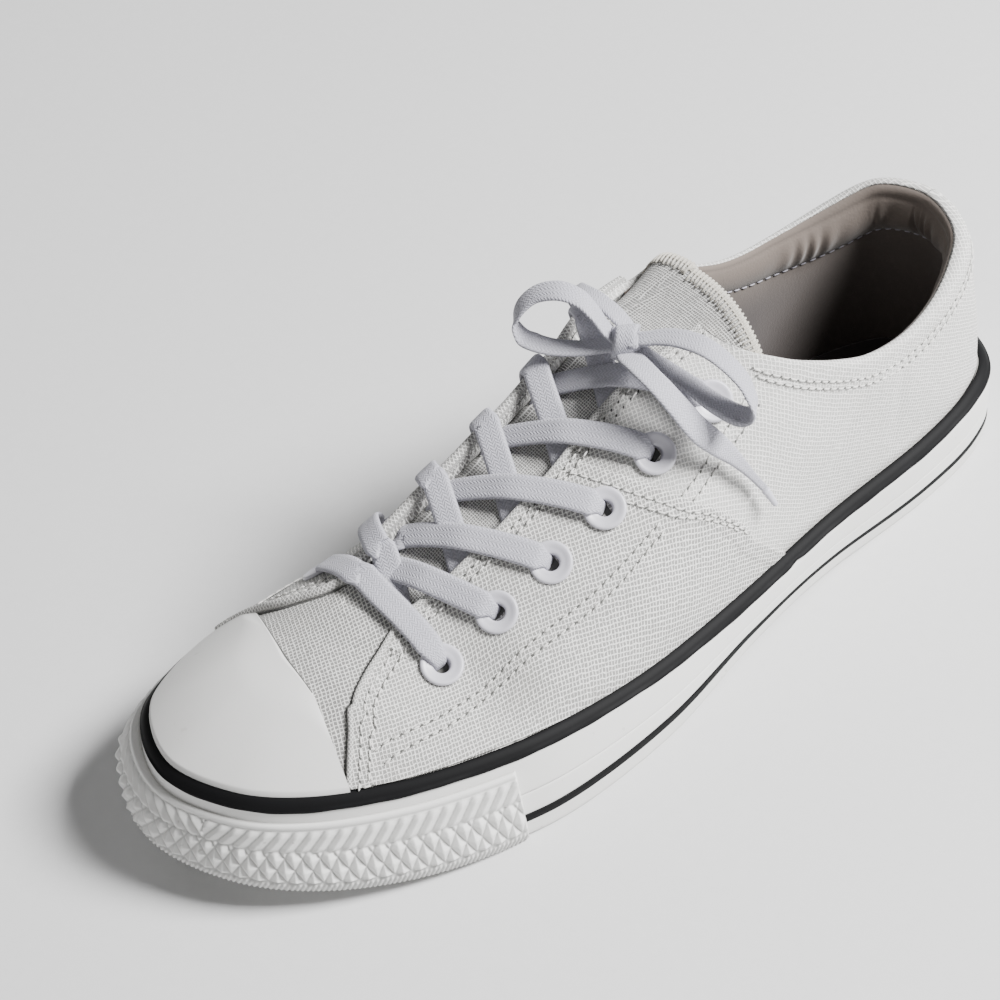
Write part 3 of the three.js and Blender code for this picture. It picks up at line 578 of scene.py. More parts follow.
class Paint:
    """One procedural material and the nodes in it."""

    def __init__(self, name, **constants):
        self.material = bpy.data.materials.new(name)
        self.material.use_nodes = True
        self.tree = self.material.node_tree
        self.shader = self.tree.nodes["Principled BSDF"]
        for key, value in constants.items():
            self.shader.inputs[key.replace("_", " ")].default_value = value

    def node(self, kind, settings=None, inputs=None, output=0):
        """A new node: its settings first, then the value or link of each socket."""
        made = self.tree.nodes.new(kind)
        for key, value in (settings or {}).items():
            setattr(made, key, value)
        for key, value in (inputs or {}).items():
            if isinstance(value, Value):
                self.tree.links.new(value.socket, made.inputs[key])
            else:
                made.inputs[key].default_value = value
        return Value(self, made.outputs[output])

    def cloth(self):
        """The flat cloth's coordinates in millimetres: as a vector, across, along and a third value."""
        attribute = self.node("ShaderNodeAttribute", {"attribute_name": "cloth"}, output="Vector")
        parts = self.node("ShaderNodeSeparateXYZ", None, {0: attribute})
        sockets = parts.socket.node.outputs
        return attribute, Value(self, sockets[0]), Value(self, sockets[1]), Value(self, sockets[2])

    def noise(self, scale, detail=2.0, rough=0.5, vector=None):
        where = vector or self.node("ShaderNodeTexCoord", output="Object")
        inputs = {"Vector": where, "Scale": scale, "Detail": detail, "Roughness": rough}
        return self.node("ShaderNodeTexNoise", None, inputs)

    def band(self, value, low, high):
        """0 below low, 1 above high, smooth between."""
        inputs = {0: value, 1: low, 2: high, 3: 0.0, 4: 1.0}
        return self.node("ShaderNodeMapRange", {"interpolation_type": "SMOOTHSTEP"}, inputs)

    def scaled(self, vector, by):
        return self.node("ShaderNodeVectorMath", {"operation": "MULTIPLY"}, {0: vector, 1: by})

    def mix(self, share, first, second):
        """The first colour, turning to the second as share goes from 0 to 1."""
        return self.node("ShaderNodeMix", {"data_type": "RGBA"}, {0: share, 6: first, 7: second}, output=2)

    def set(self, **values):
        for key, value in values.items():
            self.tree.links.new(value.socket, self.shader.inputs[key.replace("_", " ")])

    def bump(self, height, distance, strength=1.0):
        """Raises the surface by height, a value from 0 to 1, over distance metres."""
        inputs = {"Height": height, "Distance": distance, "Strength": strength}
        self.set(Normal=self.node("ShaderNodeBump", None, inputs))


def shade(colour, amount=1.0):
    """A colour made lighter or darker, with its alpha."""
    return (colour[0] * amount, colour[1] * amount, colour[2] * amount, 1.0)


def canvas_material(name, colour, pitch, cell, slant=0.0, soil=0.04, heel=None):
    """Open basket weave: pale uneven threads in a grid round greyer cells. Heel is the cells' tone at the
    heel, lighter than at the front as painted light from the heel side.
    """
    paint = Paint(name, Roughness=0.92, Specular_IOR_Level=0.15, Sheen_Weight=0.1, Sheen_Roughness=0.6)
    vector, x, y, where = paint.cloth()
    wobble = paint.noise(0.45, 3.0, 0.6, vector)
    wander = paint.noise(0.5, 3.0, 0.6, paint.scaled(vector, (1.0, -1.0, 1.0)))
    along = (x * math.cos(slant) + y * math.sin(slant)) / pitch + wobble * 0.9
    over = (y * math.cos(slant) - x * math.sin(slant)) / pitch + wander * 0.9
    warp = paint.noise(1.0, 3.0, 0.75, paint.scaled(vector, (2.6, 0.22, 1.0)))
    weft = paint.noise(1.0, 3.0, 0.75, paint.scaled(vector, (0.22, 2.6, 1.0)))
    line_a = ((along.math("FRACT") - 0.5).math("ABSOLUTE") * 2 + (warp - 0.5) * 0.9)
    line_b = ((over.math("FRACT") - 0.5).math("ABSOLUTE") * 2 + (weft - 0.5) * 0.9)
    thread_a = paint.band(line_a, 0.58, 0.92)
    thread_b = paint.band(line_b, 0.58, 0.92)
    thread = thread_a.math("MAXIMUM", thread_b)
    yarn = paint.noise(2.4, 3.0, 0.7, vector)
    patch = paint.noise(0.07, 4.0, 0.6, vector)
    grey = paint.mix(yarn, shade(colour, cell * 0.82), shade(colour, min(cell * 1.25, 1)))
    pale = shade(colour)
    # painted light: cells and threads turn lighter towards the heel, where the light falls, and stay darker
    # on the shaded front
    if heel is not None:
        heel_lit_grey = paint.mix(yarn, shade(colour, heel * 0.92), shade(colour, min(heel * 1.1, 1)))
        grey = paint.mix(where, grey, heel_lit_grey)
        pale = paint.mix(where, shade(colour, 0.93), shade(colour))
    base = paint.mix(thread, grey, pale)
    base = paint.mix(paint.band(patch, 0.5, 0.78) * soil * 4, base, shade((0.56, 0.53, 0.48), 0.9))
    paint.set(Base_Color=base)
    paint.bump(thread * 0.6 + (thread_a * thread_b) * 0.15 + yarn * 0.4, 0.0002, 0.8)
    return paint.material


def rubber_material(name, colour, rough, coat=0.0, soil=0.05, specular=0.4, relief=False):
    """Moulded rubber with a fine skin and light soiling; with relief, its moulded hollows darkened as painted
    shade.
    """
    paint = Paint(name, Specular_IOR_Level=specular, Coat_Weight=coat, Coat_Roughness=0.3)
    fine = paint.noise(900.0, 3.0, 0.6)
    broad = paint.noise(28.0, 4.0, 0.62)
    spots = paint.noise(420.0, 1.0, 0.4)
    base = paint.mix(paint.band(broad, 0.35, 0.75) * soil * 3, shade(colour), shade(colour, 0.82))
    base = paint.mix(paint.band(spots, 0.74, 0.79) * min(0.35, soil * 4), base, shade((0.3, 0.28, 0.25)))
    if relief:  # painted shade: the moulded hollows are darkened
        _, _, _, raised = paint.cloth()
        base = paint.mix(paint.band(raised, 0.0, 0.5), shade(colour, 0.62), base)
    paint.set(Base_Color=base, Roughness=broad * 0.12 + (rough - 0.06))
    paint.bump(fine * 0.6 + broad * 0.4, 0.00005, 0.6)
    return paint.material


def lace_material(colour):
    """Flat cotton braid with chevron plait."""
    paint = Paint("lace_braid", Roughness=0.85, Specular_IOR_Level=0.2, Sheen_Weight=0.2, Sheen_Roughness=0.5)
    vector, run, across, _ = paint.cloth()
    wobble = paint.noise(0.9, 2.0, 0.6, vector)
    column = (across + BRAID_HALF) / (BRAID_HALF / 2)
    zig = (column.math("FRACT") - 0.5).math("ABSOLUTE")
    chevron = ((run / 1.1 + zig * 2.0 + wobble * 1.1) * 2 * math.pi).math("SINE") * 0.5 + 0.5
    split = paint.band(zig, 0.40, 0.5)
    valley = paint.band(chevron, 0.1, 0.75)
    yarn = paint.noise(2.6, 3.0, 0.7, vector)
    base = paint.mix(valley * 0.5 + yarn * 0.5, shade(colour, 0.72), shade(colour, 1.08))
    paint.set(Base_Color=base)
    paint.bump(chevron * 0.7 + yarn * 0.35 - split * 0.2, 0.00022, 0.7)
    return paint.material


def lining_material(name, colour, deep):
    """Soft knitted lining with a fine nap, warmer on the padding than below it, and far darker below it as
    painted shade of the shoe's inside.
    """
    paint = Paint(name, Roughness=0.95, Specular_IOR_Level=0.12, Sheen_Weight=0.25, Sheen_Roughness=0.5)
    _, _, _, below = paint.cloth()
    fine = paint.noise(1500.0, 3.0, 0.7)
    broad = paint.noise(60.0, 3.0, 0.6)
    mottled = fine * 0.5 + broad * 0.5
    upper = paint.mix(mottled, shade(colour, 0.8), shade(colour, 1.15))
    lower = paint.mix(mottled, shade(deep, 0.8), shade(deep, 1.15))
    # painted shade: the lining turns to the much darker deep colour down in the shoe
    paint.set(Base_Color=paint.mix(below, upper, lower))
    paint.bump(fine * 0.7 + broad * 0.3, 0.00025, 0.6)
    return paint.material


def thread_material(name, colour):
    """Twisted cotton thread."""
    paint = Paint(name, Roughness=0.8, Specular_IOR_Level=0.25, Sheen_Weight=0.2)
    fine = paint.noise(2600.0, 2.0, 0.6)
    paint.set(Base_Color=paint.mix(fine, shade(colour, 0.8), shade(colour, 1.05)))
    paint.bump(fine, 0.0001, 0.5)
    return paint.material


def enamel_material(name, colour):
    """Painted metal ring, slightly chalky."""
    paint = Paint(name, Specular_IOR_Level=0.5, Coat_Weight=0.15, Coat_Roughness=0.25)
    broad = paint.noise(300.0, 3.0, 0.6)
    fine = paint.noise(2200.0, 2.0, 0.5)
    base = paint.mix(paint.band(broad, 0.4, 0.75) * 0.4, shade(colour), shade(colour, 0.86))
    paint.set(Base_Color=base, Roughness=broad * 0.2 + 0.3)
    paint.bump(fine, 0.00004, 0.4)
    return paint.material


MATERIALS = {}


def material(name):
    """The finish of that name, made once from the panel's colours."""
    if name in MATERIALS:
        return MATERIALS[name]
    colours = bpy.context.scene.sneaker_finish
    makers = {
        # painted light: canvas_body's front cells are darker than the quarters' and much lighter at the heel,
        # as lit and shaded copies of one canvas
        "canvas_quarter": lambda: canvas_material(name, colours.canvas, 1.07, 0.34, -0.42),
        "canvas_body": lambda: canvas_material(name, colours.canvas, 1.07, 0.26, -0.42, 0.04, 0.56),
        "canvas_tongue": lambda: canvas_material(name, shade(colours.canvas, 0.96)[:3], 0.72, 0.26, 0.0),
        "canvas_roll": lambda: canvas_material(name, shade(colours.canvas, 0.95)[:3], 0.85, 0.36, 0.8),
        "rubber_white": lambda: rubber_material(name, colours.rubber, 0.42, 0.12),
        "rubber_cap": lambda: rubber_material(name, colours.cap, 0.45, 0.1, 0.04),
        "rubber_bumper": lambda: rubber_material(name, colours.rubber, 0.5, 0.05, 0.1, 0.4, True),
        "rubber_sole": lambda: rubber_material(name, shade(colours.rubber, 0.92)[:3], 0.6, 0.0, 0.14),
        "rubber_black": lambda: rubber_material(name, colours.stripe, 0.62, 0.0, 0.0, 0.12),
        "lining": lambda: lining_material(name, colours.lining, colours.lining_deep_shaded),
        # painted shade: the footbed takes the deep lining's painted-shade colour, darker still
        "insole": lambda: lining_material(name, shade(colours.lining_deep_shaded, 0.8)[:3], colours.lining_deep_shaded),
        "thread_lilac": lambda: thread_material(name, (0.42, 0.40, 0.45)),
        "thread": lambda: thread_material(name, colours.thread),
        # painted shade and shadow: one dark colour for the shade in needle holes and eyelets and the shadow
        # lines by the cap and the quarters' front folds
        "painted_shade_dark": lambda: thread_material(name, (0.09, 0.09, 0.085)),
        "overlock": lambda: thread_material(name, (0.56, 0.53, 0.47)),
        "enamel": lambda: enamel_material(name, colours.eyelet),
        "lace": lambda: lace_material(colours.lace),
        "aglet": lambda: enamel_material(name, shade(colours.lace, 1.1)[:3]),
    }
    MATERIALS[name] = makers[name]()
    return MATERIALS[name]


# ---------------------------------------------------------------- settings
class SneakerStage(bpy.types.PropertyGroup):
    """The camera, the floor and the lights."""

    azimuth: bpy.props.FloatProperty(
        name="Camera azimuth", description="Turn of the camera round the shoe, from in front of the toe",
        default=57.242,
    )
    elevation: bpy.props.FloatProperty(
        name="Camera elevation", description="Height angle of the camera", default=43.067,
    )
    roll: bpy.props.FloatProperty(
        name="Camera roll", description="Turn of the frame about its own centre", default=-9.058,
    )
    eye: bpy.props.FloatVectorProperty(
        name="Camera place", description="Where the camera stands", default=(0.54328, -0.3735, 0.6665),
        unit="LENGTH", subtype="XYZ",
    )
    lens: bpy.props.FloatProperty(name="Lens", description="Focal length on a 36 mm sensor", default=118.38)
    floor_tone: bpy.props.FloatProperty(
        name="Floor tone", description="Lightness of the floor", default=0.7, min=0, max=1,
    )
    key_power: bpy.props.FloatProperty(
        name="Key light", description="Power of the main soft light", default=78.0, unit="POWER",
    )
    fill_power: bpy.props.FloatProperty(
        name="Fill light", description="Power of the fill light", default=2.4, unit="POWER",
    )
    sky: bpy.props.FloatProperty(
        name="Sky", description="Strength of the even light all round", default=0.11,
    )


def colour_property(name, description, default):
    return bpy.props.FloatVectorProperty(
        name=name, description=description, default=default, subtype="COLOR", size=3, min=0, max=1
    )


class SneakerFinish(bpy.types.PropertyGroup):
    """The colours of the shoe's cloths and rubbers."""

    canvas: colour_property("Canvas", "Pale threads of the upper's canvas", (0.80, 0.79, 0.765))
    rubber: colour_property("Sidewall", "White rubber of the sidewall", (0.78, 0.775, 0.755))
    cap: colour_property("Toe cap", "White rubber of the toe cap", (0.74, 0.735, 0.72))
    stripe: colour_property("Stripes", "Black rubber of the two stripes", (0.005, 0.005, 0.0055))
    # painted shade: both lining colours are darkened for the shoe's shaded inside, the deep one most
    lining: colour_property("Lining", "Soft lining on the collar's padding", (0.18, 0.15, 0.13))
    lining_deep_shaded: colour_property("Deep lining", "Lining below the padding", (0.07, 0.061, 0.061))
    thread: colour_property("Thread", "Sewing thread", (0.76, 0.75, 0.72))
    eyelet: colour_property("Eyelets", "Painted metal rings", (0.54, 0.53, 0.58))
    lace: colour_property("Laces", "Flat cotton laces", (0.48, 0.475, 0.53))


class SneakerSizes(bpy.types.PropertyGroup):
    """Sizes of the sewn and moulded details, in millimetres."""

    stripe_drop: bpy.props.FloatProperty(
        name="Stripe", description="Height of the black stripe, in mm", default=2.6,
    )
    stitch_pitch: bpy.props.FloatProperty(
        name="Stitch", description="Length of one stitch, in mm", default=2.9,
    )
    row_gap: bpy.props.FloatProperty(
        name="Row gap", description="Space between the two rows of a seam, in mm", default=2.4,
    )
    panel_proud: bpy.props.FloatProperty(
        name="Panel", description="Height of the quarters over the vamp, in mm", default=0.9,
    )
    lace_width: bpy.props.FloatProperty(
        name="Lace width", description="Width of the flat lace, in mm", default=7.6,
    )
    rib_pitch: bpy.props.FloatProperty(
        name="Rib pitch", description="Spacing of the bumper's ribs, in mm", default=3.9,
    )


# ---------------------------------------------------------------- stage
LIGHT_AIM = (0, 0, 0.03)


def make_camera(stage):
    """The camera at its place, turned by azimuth, elevation and roll."""
    az, el, roll = (math.radians(v) for v in (stage.azimuth, stage.elevation, stage.roll))
    back = np.array([math.sin(az) * math.cos(el), -math.cos(az) * math.cos(el), math.sin(el)])
    right = np.array([math.cos(az), math.sin(az), 0.0])
    up = np.cross(back, right)
    x = right * math.cos(roll) + up * math.sin(roll)
    y = up * math.cos(roll) - right * math.sin(roll)
    data = bpy.data.cameras.new("camera")
    data.lens = stage.lens
    data.sensor_width = 36.0
    camera = bpy.data.objects.new("camera", data)
    bpy.context.scene.collection.objects.link(camera)
    turned = np.column_stack([x, y, back, stage.eye])
    camera.matrix_world = Matrix([*turned.tolist(), [0, 0, 0, 1]])
    bpy.context.scene.camera = camera


def make_light(name, place_at, power, size):
    """A soft rectangular light that looks at the shoe."""
    data = bpy.data.lights.new(name, "AREA")
    data.energy = power
    data.shape = "RECTANGLE"
    data.size, data.size_y = size
    lamp = bpy.data.objects.new(name, data)
    bpy.context.scene.collection.objects.link(lamp)
    lamp.location = place_at
    lamp.rotation_euler = (Vector(LIGHT_AIM) - Vector(place_at)).to_track_quat("-Z", "Y").to_euler()


def make_floor(stage):
    """A round sheet of pale paper."""
    mesh = bpy.data.meshes.new("floor")
    reach, sides = 4, 64
    turn = np.linspace(0, 2 * math.pi, sides, endpoint=False)
    ring = [(reach * math.cos(a), reach * math.sin(a), 0) for a in turn]
    mesh.from_pydata(ring, [], [list(range(sides))])
    floor = bpy.data.objects.new("floor", mesh)
    bpy.context.scene.collection.objects.link(floor)
    paint = Paint("floor_paper", Roughness=0.85, Specular_IOR_Level=0.2)
    grain = paint.noise(260.0, 3.0, 0.6)
    tone = stage.floor_tone
    paint.set(Base_Color=paint.mix(grain, shade((tone, tone, tone), 0.97), shade((tone, tone, tone), 1.03)))
    mesh.materials.append(paint.material)


class SNEAKER_OT_stage(bpy.types.Operator):
    """Camera, floor and soft lights"""

    bl_idname = "sneaker.stage"
    bl_label = "Stage"

    def execute(self, context):
        stage = context.scene.sneaker_stage
        make_camera(stage)
        make_floor(stage)
        make_light("key", (0.75, 0.75, 1.1), stage.key_power, (0.6, 0.45))
        make_light("fill", (0.6, -0.9, 0.7), stage.fill_power, (1.2, 0.8))
        make_light("left", (-1.0, -0.1, 0.8), stage.fill_power * 0.8, (1.0, 0.8))
        world = bpy.data.worlds.new("studio")
        context.scene.world = world
        world.use_nodes = True
        sky = world.node_tree.nodes["Background"]
        sky.inputs[0].default_value = (1, 1, 1, 1)
        sky.inputs[1].default_value = stage.sky
        return {"FINISHED"}


# ---------------------------------------------------------------- bow
BOW_ROOTS = {  # points inside the knot, before the first point and after the last
    "lace_loop_left": ([(0.2, 21, 92.2), (-2.4, 19.8, 93.6)], [(-4, 17.6, 90.4), (-1, 20.3, 91.6)]),
    "lace_loop_right": ([(1.6, 22, 92.6), (3.8, 23, 93.8)], [(6, 22.6, 90.8), (2.5, 21.8, 91.8)]),
    "lace_end_lateral": ([(0.8, 21.6, 90.6), (3.4, 19.8, 91.2)], []),
    "lace_end_medial": ([(2, 22, 92.8), (0, 23.6, 93.4)], []),
}


def bow_path(name, count):
    """The route of a free lace from inside the knot, and the lace's upper side along it."""
    before, after = BOW_ROOTS[name]
    path = spline([*before, *BOW[name], *after], count)
    start, end = (unit(np.array(way, float)) for way in BOW_WIDTH[name])
    share = np.linspace(0, 1, count)[:, None]
    along = unit(np.gradient(path, axis=0))
    across = unit(start * (1 - share) + end * share)
    return path, unit(np.cross(across, along))


def make_bow_lace(name, width, narrow):
    """One free length of lace, pinched at the knot and narrowing to its share narrow at its end."""
    count, start_narrow = 150, 0.8
    path, normals = bow_path(name, count)
    share = np.linspace(0, 1, count)
    widths = width * (start_narrow + (1 - start_narrow) * smoothstep(share, 0.0, 0.14))
    widths = widths * (1 - (1 - narrow) * smoothstep(share, 0.55, 0.97))
    thick = LACE_THICK + 0.9 * (1 - widths / width)
    parts = [lace_parts(path, normals, widths, thick, 14)]
    piece = piece_from(name.replace("lace", "bow"), parts, material("lace"), [name])


def make_knot():
    """The wrap over the top as one folded band, and the crossed laces under it."""
    centre = np.array(KNOT, float)
    parts = []
    axis = unit(np.array([0.66, 0.75, 0.05]))
    side = unit(np.cross([0, 0, 1.0], axis))
    up = np.cross(axis, side)
    turn = np.linspace(0.1 * math.pi, 2.06 * math.pi, 64)
    wide, tall = 3.5, 4.3  # half sizes of the wrap
    round_it = side * (np.cos(turn) * wide)[:, None] + up * (np.sin(turn) * tall)[:, None]
    wrap = centre + round_it + axis * (0.9 * np.sin(turn + 0.5))[:, None]
    normals = unit(side * (np.cos(turn) / wide)[:, None] + up * (np.sin(turn) / tall)[:, None])
    parts.append(lace_parts(wrap, normals, 6.4 + 0.7 * np.sin(turn * 2), 1.4, 12))
    half = 4.4
    for offset, tilt in ((-2.6, 0.5), (2.9, -0.35)):
        way = unit(side + up * tilt)
        s = np.linspace(-half, half, 24)
        arch = (1.0 - (s / half) ** 2) - 0.6
        path = centre + axis * offset * 0.8 + way * s[:, None] + up * arch[:, None]
        parts.append(lace_parts(path, np.tile(up, (24, 1)), 3.4, 2.4, 8))
    return piece_from("bow_knot", parts, material("lace"), ["lace_knot"])


def make_aglet(name, nodes=()):
    """The wrapped tip of a lace, pinched where it holds the braid."""
    start, end = (np.array(point, float) for point in AGLETS[name])
    s = np.linspace(0, 1, 24)
    path = start + (end - start) * s[:, None]
    radius = 1.25 - 0.45 * s + 0.1 * np.sin(s * 22) * (s < 0.5)
    radius[0], radius[-1] = 0.9, 0.45
    normals = np.tile([1.0, 0.2, 0.0], (24, 1))
    return piece_from(name, [tube_parts(path, radius, 14, normals, 0.8)], material("aglet"), nodes)


class SNEAKER_OT_bow(bpy.types.Operator):
    """The tied bow: knot, two loops, two ends and their tips"""

    bl_idname = "sneaker.bow"
    bl_label = "Bow"

    def execute(self, context):
        width = context.scene.sneaker_sizes.lace_width
        make_knot()
        tip = make_aglet("lace_tip_lateral", ["lace_aglet"])
        second = make_aglet("lace_tip_medial")
        make_bow_lace("lace_loop_left", width, 0.75)
        make_bow_lace("lace_loop_right", width, 0.75)
        make_bow_lace("lace_end_lateral", width, 0.3)
        make_bow_lace("lace_end_medial", width * 0.8, 0.35)
        return {"FINISHED"}


# ---------------------------------------------------------------- sole
ROUND = np.linspace(0, 1, 720, endpoint=False)


def rings(profile):
    """Rings round the shoe, each from a function giving how far out and how high."""
    _, y, _ = place(ROUND)
    return np.stack([ring_at(ROUND, *level(y)) for level in profile])


def ring_piece(name, points, finish, nodes=()):
    """A piece that runs all the way round the shoe."""
    rows = np.arange(len(points))[:, None] * 1.0
    cloth = np.stack(np.broadcast_arrays(ROUND[None] * RING_LENGTH, rows), -1)
    grid(name, points, material(finish), nodes, cloth, wrap_columns=True)


def make_outsole():
    """The outsole: a plain edge that tucks in under the waist, and a treaded underside."""
    def edge(height, inset=0.0):
        return lambda y: (wall_out(y, sole_bottom(y) + height) - inset, sole_bottom(y) + height)

    profile = [
        edge(0.0, 3.5), edge(0.05, 2.0), edge(0.15, 1.0), edge(0.5, 0.35), edge(1.0, 0.08), edge(1.8),
        edge(2.6), edge(3.4), edge(4.2), edge(4.8), edge(5.1, 0.12), edge(FLANGE, 0.5), edge(FLANGE, 5.0),
        edge(FLANGE, 12.0),
    ]
    side = rings(profile)
    _, y, _ = place(ROUND)
    # The underside closes towards the middle line in herringbone treads.
    tread_width, tread_pitch, tread_depth = 11, 5.2, 0.9
    inner = []
    first = side[0]
    middle = np.stack([ridge_x(y), np.clip(y, -118, 128), sole_bottom(np.clip(y, -118, 128))], -1)
    for share in np.linspace(0.97, 0.0, 46):
        flat = middle + (first - middle) * share
        flat[:, 2] = sole_bottom(flat[:, 1])
        zig = np.abs(((flat[:, 0] + 60) / tread_width) % 1 - 0.5) * 2
        wave = np.sin((flat[:, 1] / tread_pitch + zig * 0.9) * 2 * math.pi)
        rim = smoothstep(share, 0.93, 0.85)
        flat[:, 2] += tread_depth * smoothstep(wave, -0.1, 0.5) * rim
        inner.append(flat)
    points = np.concatenate([np.stack(inner[::-1]), side])
    ring_piece("outsole_rubber", points, "rubber_sole", ["outsole"])


def seam_height(y):
    """Where the sidewall's two tapes meet."""
    low = sole_bottom(y) + FLANGE + 0.4
    return low + 0.42 * (wall_top(y) - 3.0 - low)


def make_foxing():
    """The sidewall's white tapes, one lapped over the other at a fine seam."""
    def face(share, proud):
        def level(y):
            low = sole_bottom(y) + FLANGE + GAP
            z = low + (seam_height(y) - low) * share
            return wall_out(y, z) + proud, z
        return level

    def upper_face(share, proud):
        def level(y):
            z = seam_height(y) + (wall_top(y) - 4 - seam_height(y)) * share
            return wall_out(y, z) + proud, z
        return level

    def shoulder(out, down):
        return lambda y: (out + 0 * y, wall_top(y) - down)

    profile = [
        lambda y: (-4.3 + 0 * y, sole_bottom(y) + FLANGE + GAP),
        face(0.0, -0.1), face(0.2, -0.04), face(0.4, 0.0), face(0.6, 0.0), face(0.8, 0.0), face(0.93, -0.02),
        face(0.975, -0.1), face(0.99, -0.3), upper_face(0.01, -0.3), upper_face(0.02, 0.02),
        upper_face(0.05, 0.16), upper_face(0.1, 0.2), upper_face(0.25, 0.2), upper_face(0.45, 0.16),
        upper_face(0.65, 0.1), upper_face(0.85, 0.05), upper_face(1.0, 0.0), shoulder(-0.2, 3.2),
        shoulder(-0.55, 2.4), shoulder(-1.1, 1.5), shoulder(-1.9, 0.7), shoulder(-2.7, 0.15),
        shoulder(-3.3, 0.0), shoulder(-4.0, 1.5), shoulder(-4.3, 3.0),
    ]
    ring_piece("sidewall", rings(profile), "rubber_white", ["foxing"])


def make_stripes(drop):
    """The black stripe on the sidewall's shoulder and the narrow one above the outsole."""
    turn = ROUND * 2 * math.pi
    wave = 0.16 * np.sin(turn * 9 + 1) + 0.12 * np.sin(turn * 23) + 0.07 * np.sin(turn * 57 + 2)
    kink = 0.9 * np.exp(-(((ROUND - float(u_at("lateral", 43))) * RING_LENGTH / 2.2) ** 2))

    def over(out, down, lower=0.0):
        return lambda y: (out + 0 * y, wall_top(y) - down - lower * (wave - kink))

    profile = [
        over(-0.05, drop + 0.5, 1.0), over(0.12, drop + 0.35, 1.0), over(0.2, drop, 1.0),
        over(0.14, drop - 0.5, 0.6), over(-0.18, 1.9), over(-0.62, 1.2), over(-1.3, 0.5), over(-2.1, 0.0),
        over(-2.7, -0.2), over(-3.1, -0.2), over(-3.4, 0.1), over(-3.5, 1.4),
    ]
    ring_piece("sidewall_stripe", rings(profile), "rubber_black")

    def under(height, proud):
        return lambda y: (
            wall_out(y, sole_bottom(y) + FLANGE) + proud, sole_bottom(y) + FLANGE + height + 0.12 * wave,
        )

    profile = [under(-0.15, -1.5), under(-0.1, -0.1), under(0.05, 0.12), under(0.4, 0.18), under(1.4, 0.2),
               under(2.2, 0.16), under(2.5, -0.02), under(2.55, -1.5)]
    ring_piece("sole_stripe", rings(profile), "rubber_black")


def make_bumper(rib):
    """The thick toe band: slanted leaves along its top, rows of scales below, and a knurled foot."""
    start, end = float(u_at("lateral", -64)), float(u_at("medial", -62))
    columns, rows = 900, 62
    u = np.linspace(start, end, columns)
    _, y, _ = place(u)
    share = np.linspace(0, 1, columns)
    thickest = np.sin(np.clip(share, 1e-6, 1) * math.pi) ** 0.7
    inner = 3.4 * np.sin(np.maximum(share - 0.42, 0) * 1.7 * math.pi) ** 2
    low, high = sole_bottom(y) + GAP, wall_top(y) - 6.5
    foot = 1.9 + (5.2 - 1.9) * thickest
    t = np.linspace(0, 1, rows)[:, None]
    z = low + (high - low) * t
    run = (share - 0.5) * (end - start) * RING_LENGTH
    base = wall_out(y, z) + GAP
    lower = foot - 0.6 * smoothstep(0.12 - t, 0, 0.12) * 1.6
    middle = (foot + 1.7) / 2 + 0.3 + inner
    upper = 1.7 + inner / 2
    falling = middle + (upper - middle) * ((t - 0.5) / 0.5)
    body = np.where(t < 0.5, lower + (middle - lower) * (t / 0.5), falling)
    mirror = np.where(run > -12, -1.0, 1.0)
    # leaves, from share scales_top to leaves_top of the band's height
    scales_foot, scales_top, leaves_top = 0.16, 0.63, 0.93
    leaf_t = (t - scales_top) / 0.3
    phase = run[None] / rib + mirror[None] * leaf_t * 1.25
    cell = phase % 1.0
    ridge = np.where(cell < 0.68, cell / 0.68, (1 - cell) / 0.32)
    inside = np.clip(leaf_t, 0, 1)
    leaf = ridge**0.8 * np.clip(6 * inside * (1 - inside), 0, 1) ** 0.5
    leaves = 1.15 * leaf * ((t > scales_top) & (t < leaves_top))
    # scales
    row_t = (t - scales_foot) / 0.47
    a = run[None] / (rib * 1.12) + row_t * 1.25
    b = run[None] / (rib * 1.12) - row_t * 1.25
    scale = np.minimum(np.abs(a % 1.0 - 0.5), np.abs(b % 1.0 - 0.5)) * 2
    scale = np.clip(scale * 1.25, 0, 1) ** 0.8
    faded = smoothstep(t, 0.15, 0.2) * smoothstep(-t, -0.645, -0.6)
    scales = 1.25 * scale * ((t >= scales_foot) & (t <= scales_top)) * faded
    # knurl
    knurl = 0.4 * (0.5 + 0.5 * np.sin(run[None] / 1.25 * 2 * math.pi + t * 40)) * smoothstep(-t, -0.15, -0.12)
    # lip
    lip = 0.3 * smoothstep(t, 0.945, 0.96)
    relief = leaves + scales + knurl + 0.9 * (t > leaves_top)
    out = base + body - 0.75 + leaves + scales + knurl + lip
    ends = smoothstep(np.minimum(run - run[0], run[-1] - run), 0, 0.7) * 0.8 + 0.2
    out = base + (out - base) * ends
    outer = ring_at(np.broadcast_to(u, z.shape), out, z)
    top = ring_at(u, (base + body - 0.9)[-1] * ends, high + 0.35)
    back_top = ring_at(u, wall_out(y, high) + 0.05, high + 0.2)
    back_low = ring_at(u, wall_out(y, low) - 0.3, low)
    under = ring_at(u, out[0] - 1.0, low - 0.1)
    points = np.concatenate([back_low[None], under[None], outer, top[None], back_top[None]])
    points = points.transpose(1, 0, 2)
    # how raised each point is; the rubber paints its low points darker as painted shade
    raised = np.concatenate([np.ones((2, columns)), relief, np.ones((2, columns))]).T
    along, level = np.broadcast_arrays(run[:, None], np.arange(points.shape[1])[None] * 0.4)
    cloth = np.stack([along, level, raised], -1)
    grid(
        "toe_band", points, material("rubber_bumper"), ["toe_bumper"], cloth,
        wrap_columns=True, caps=True,
    )


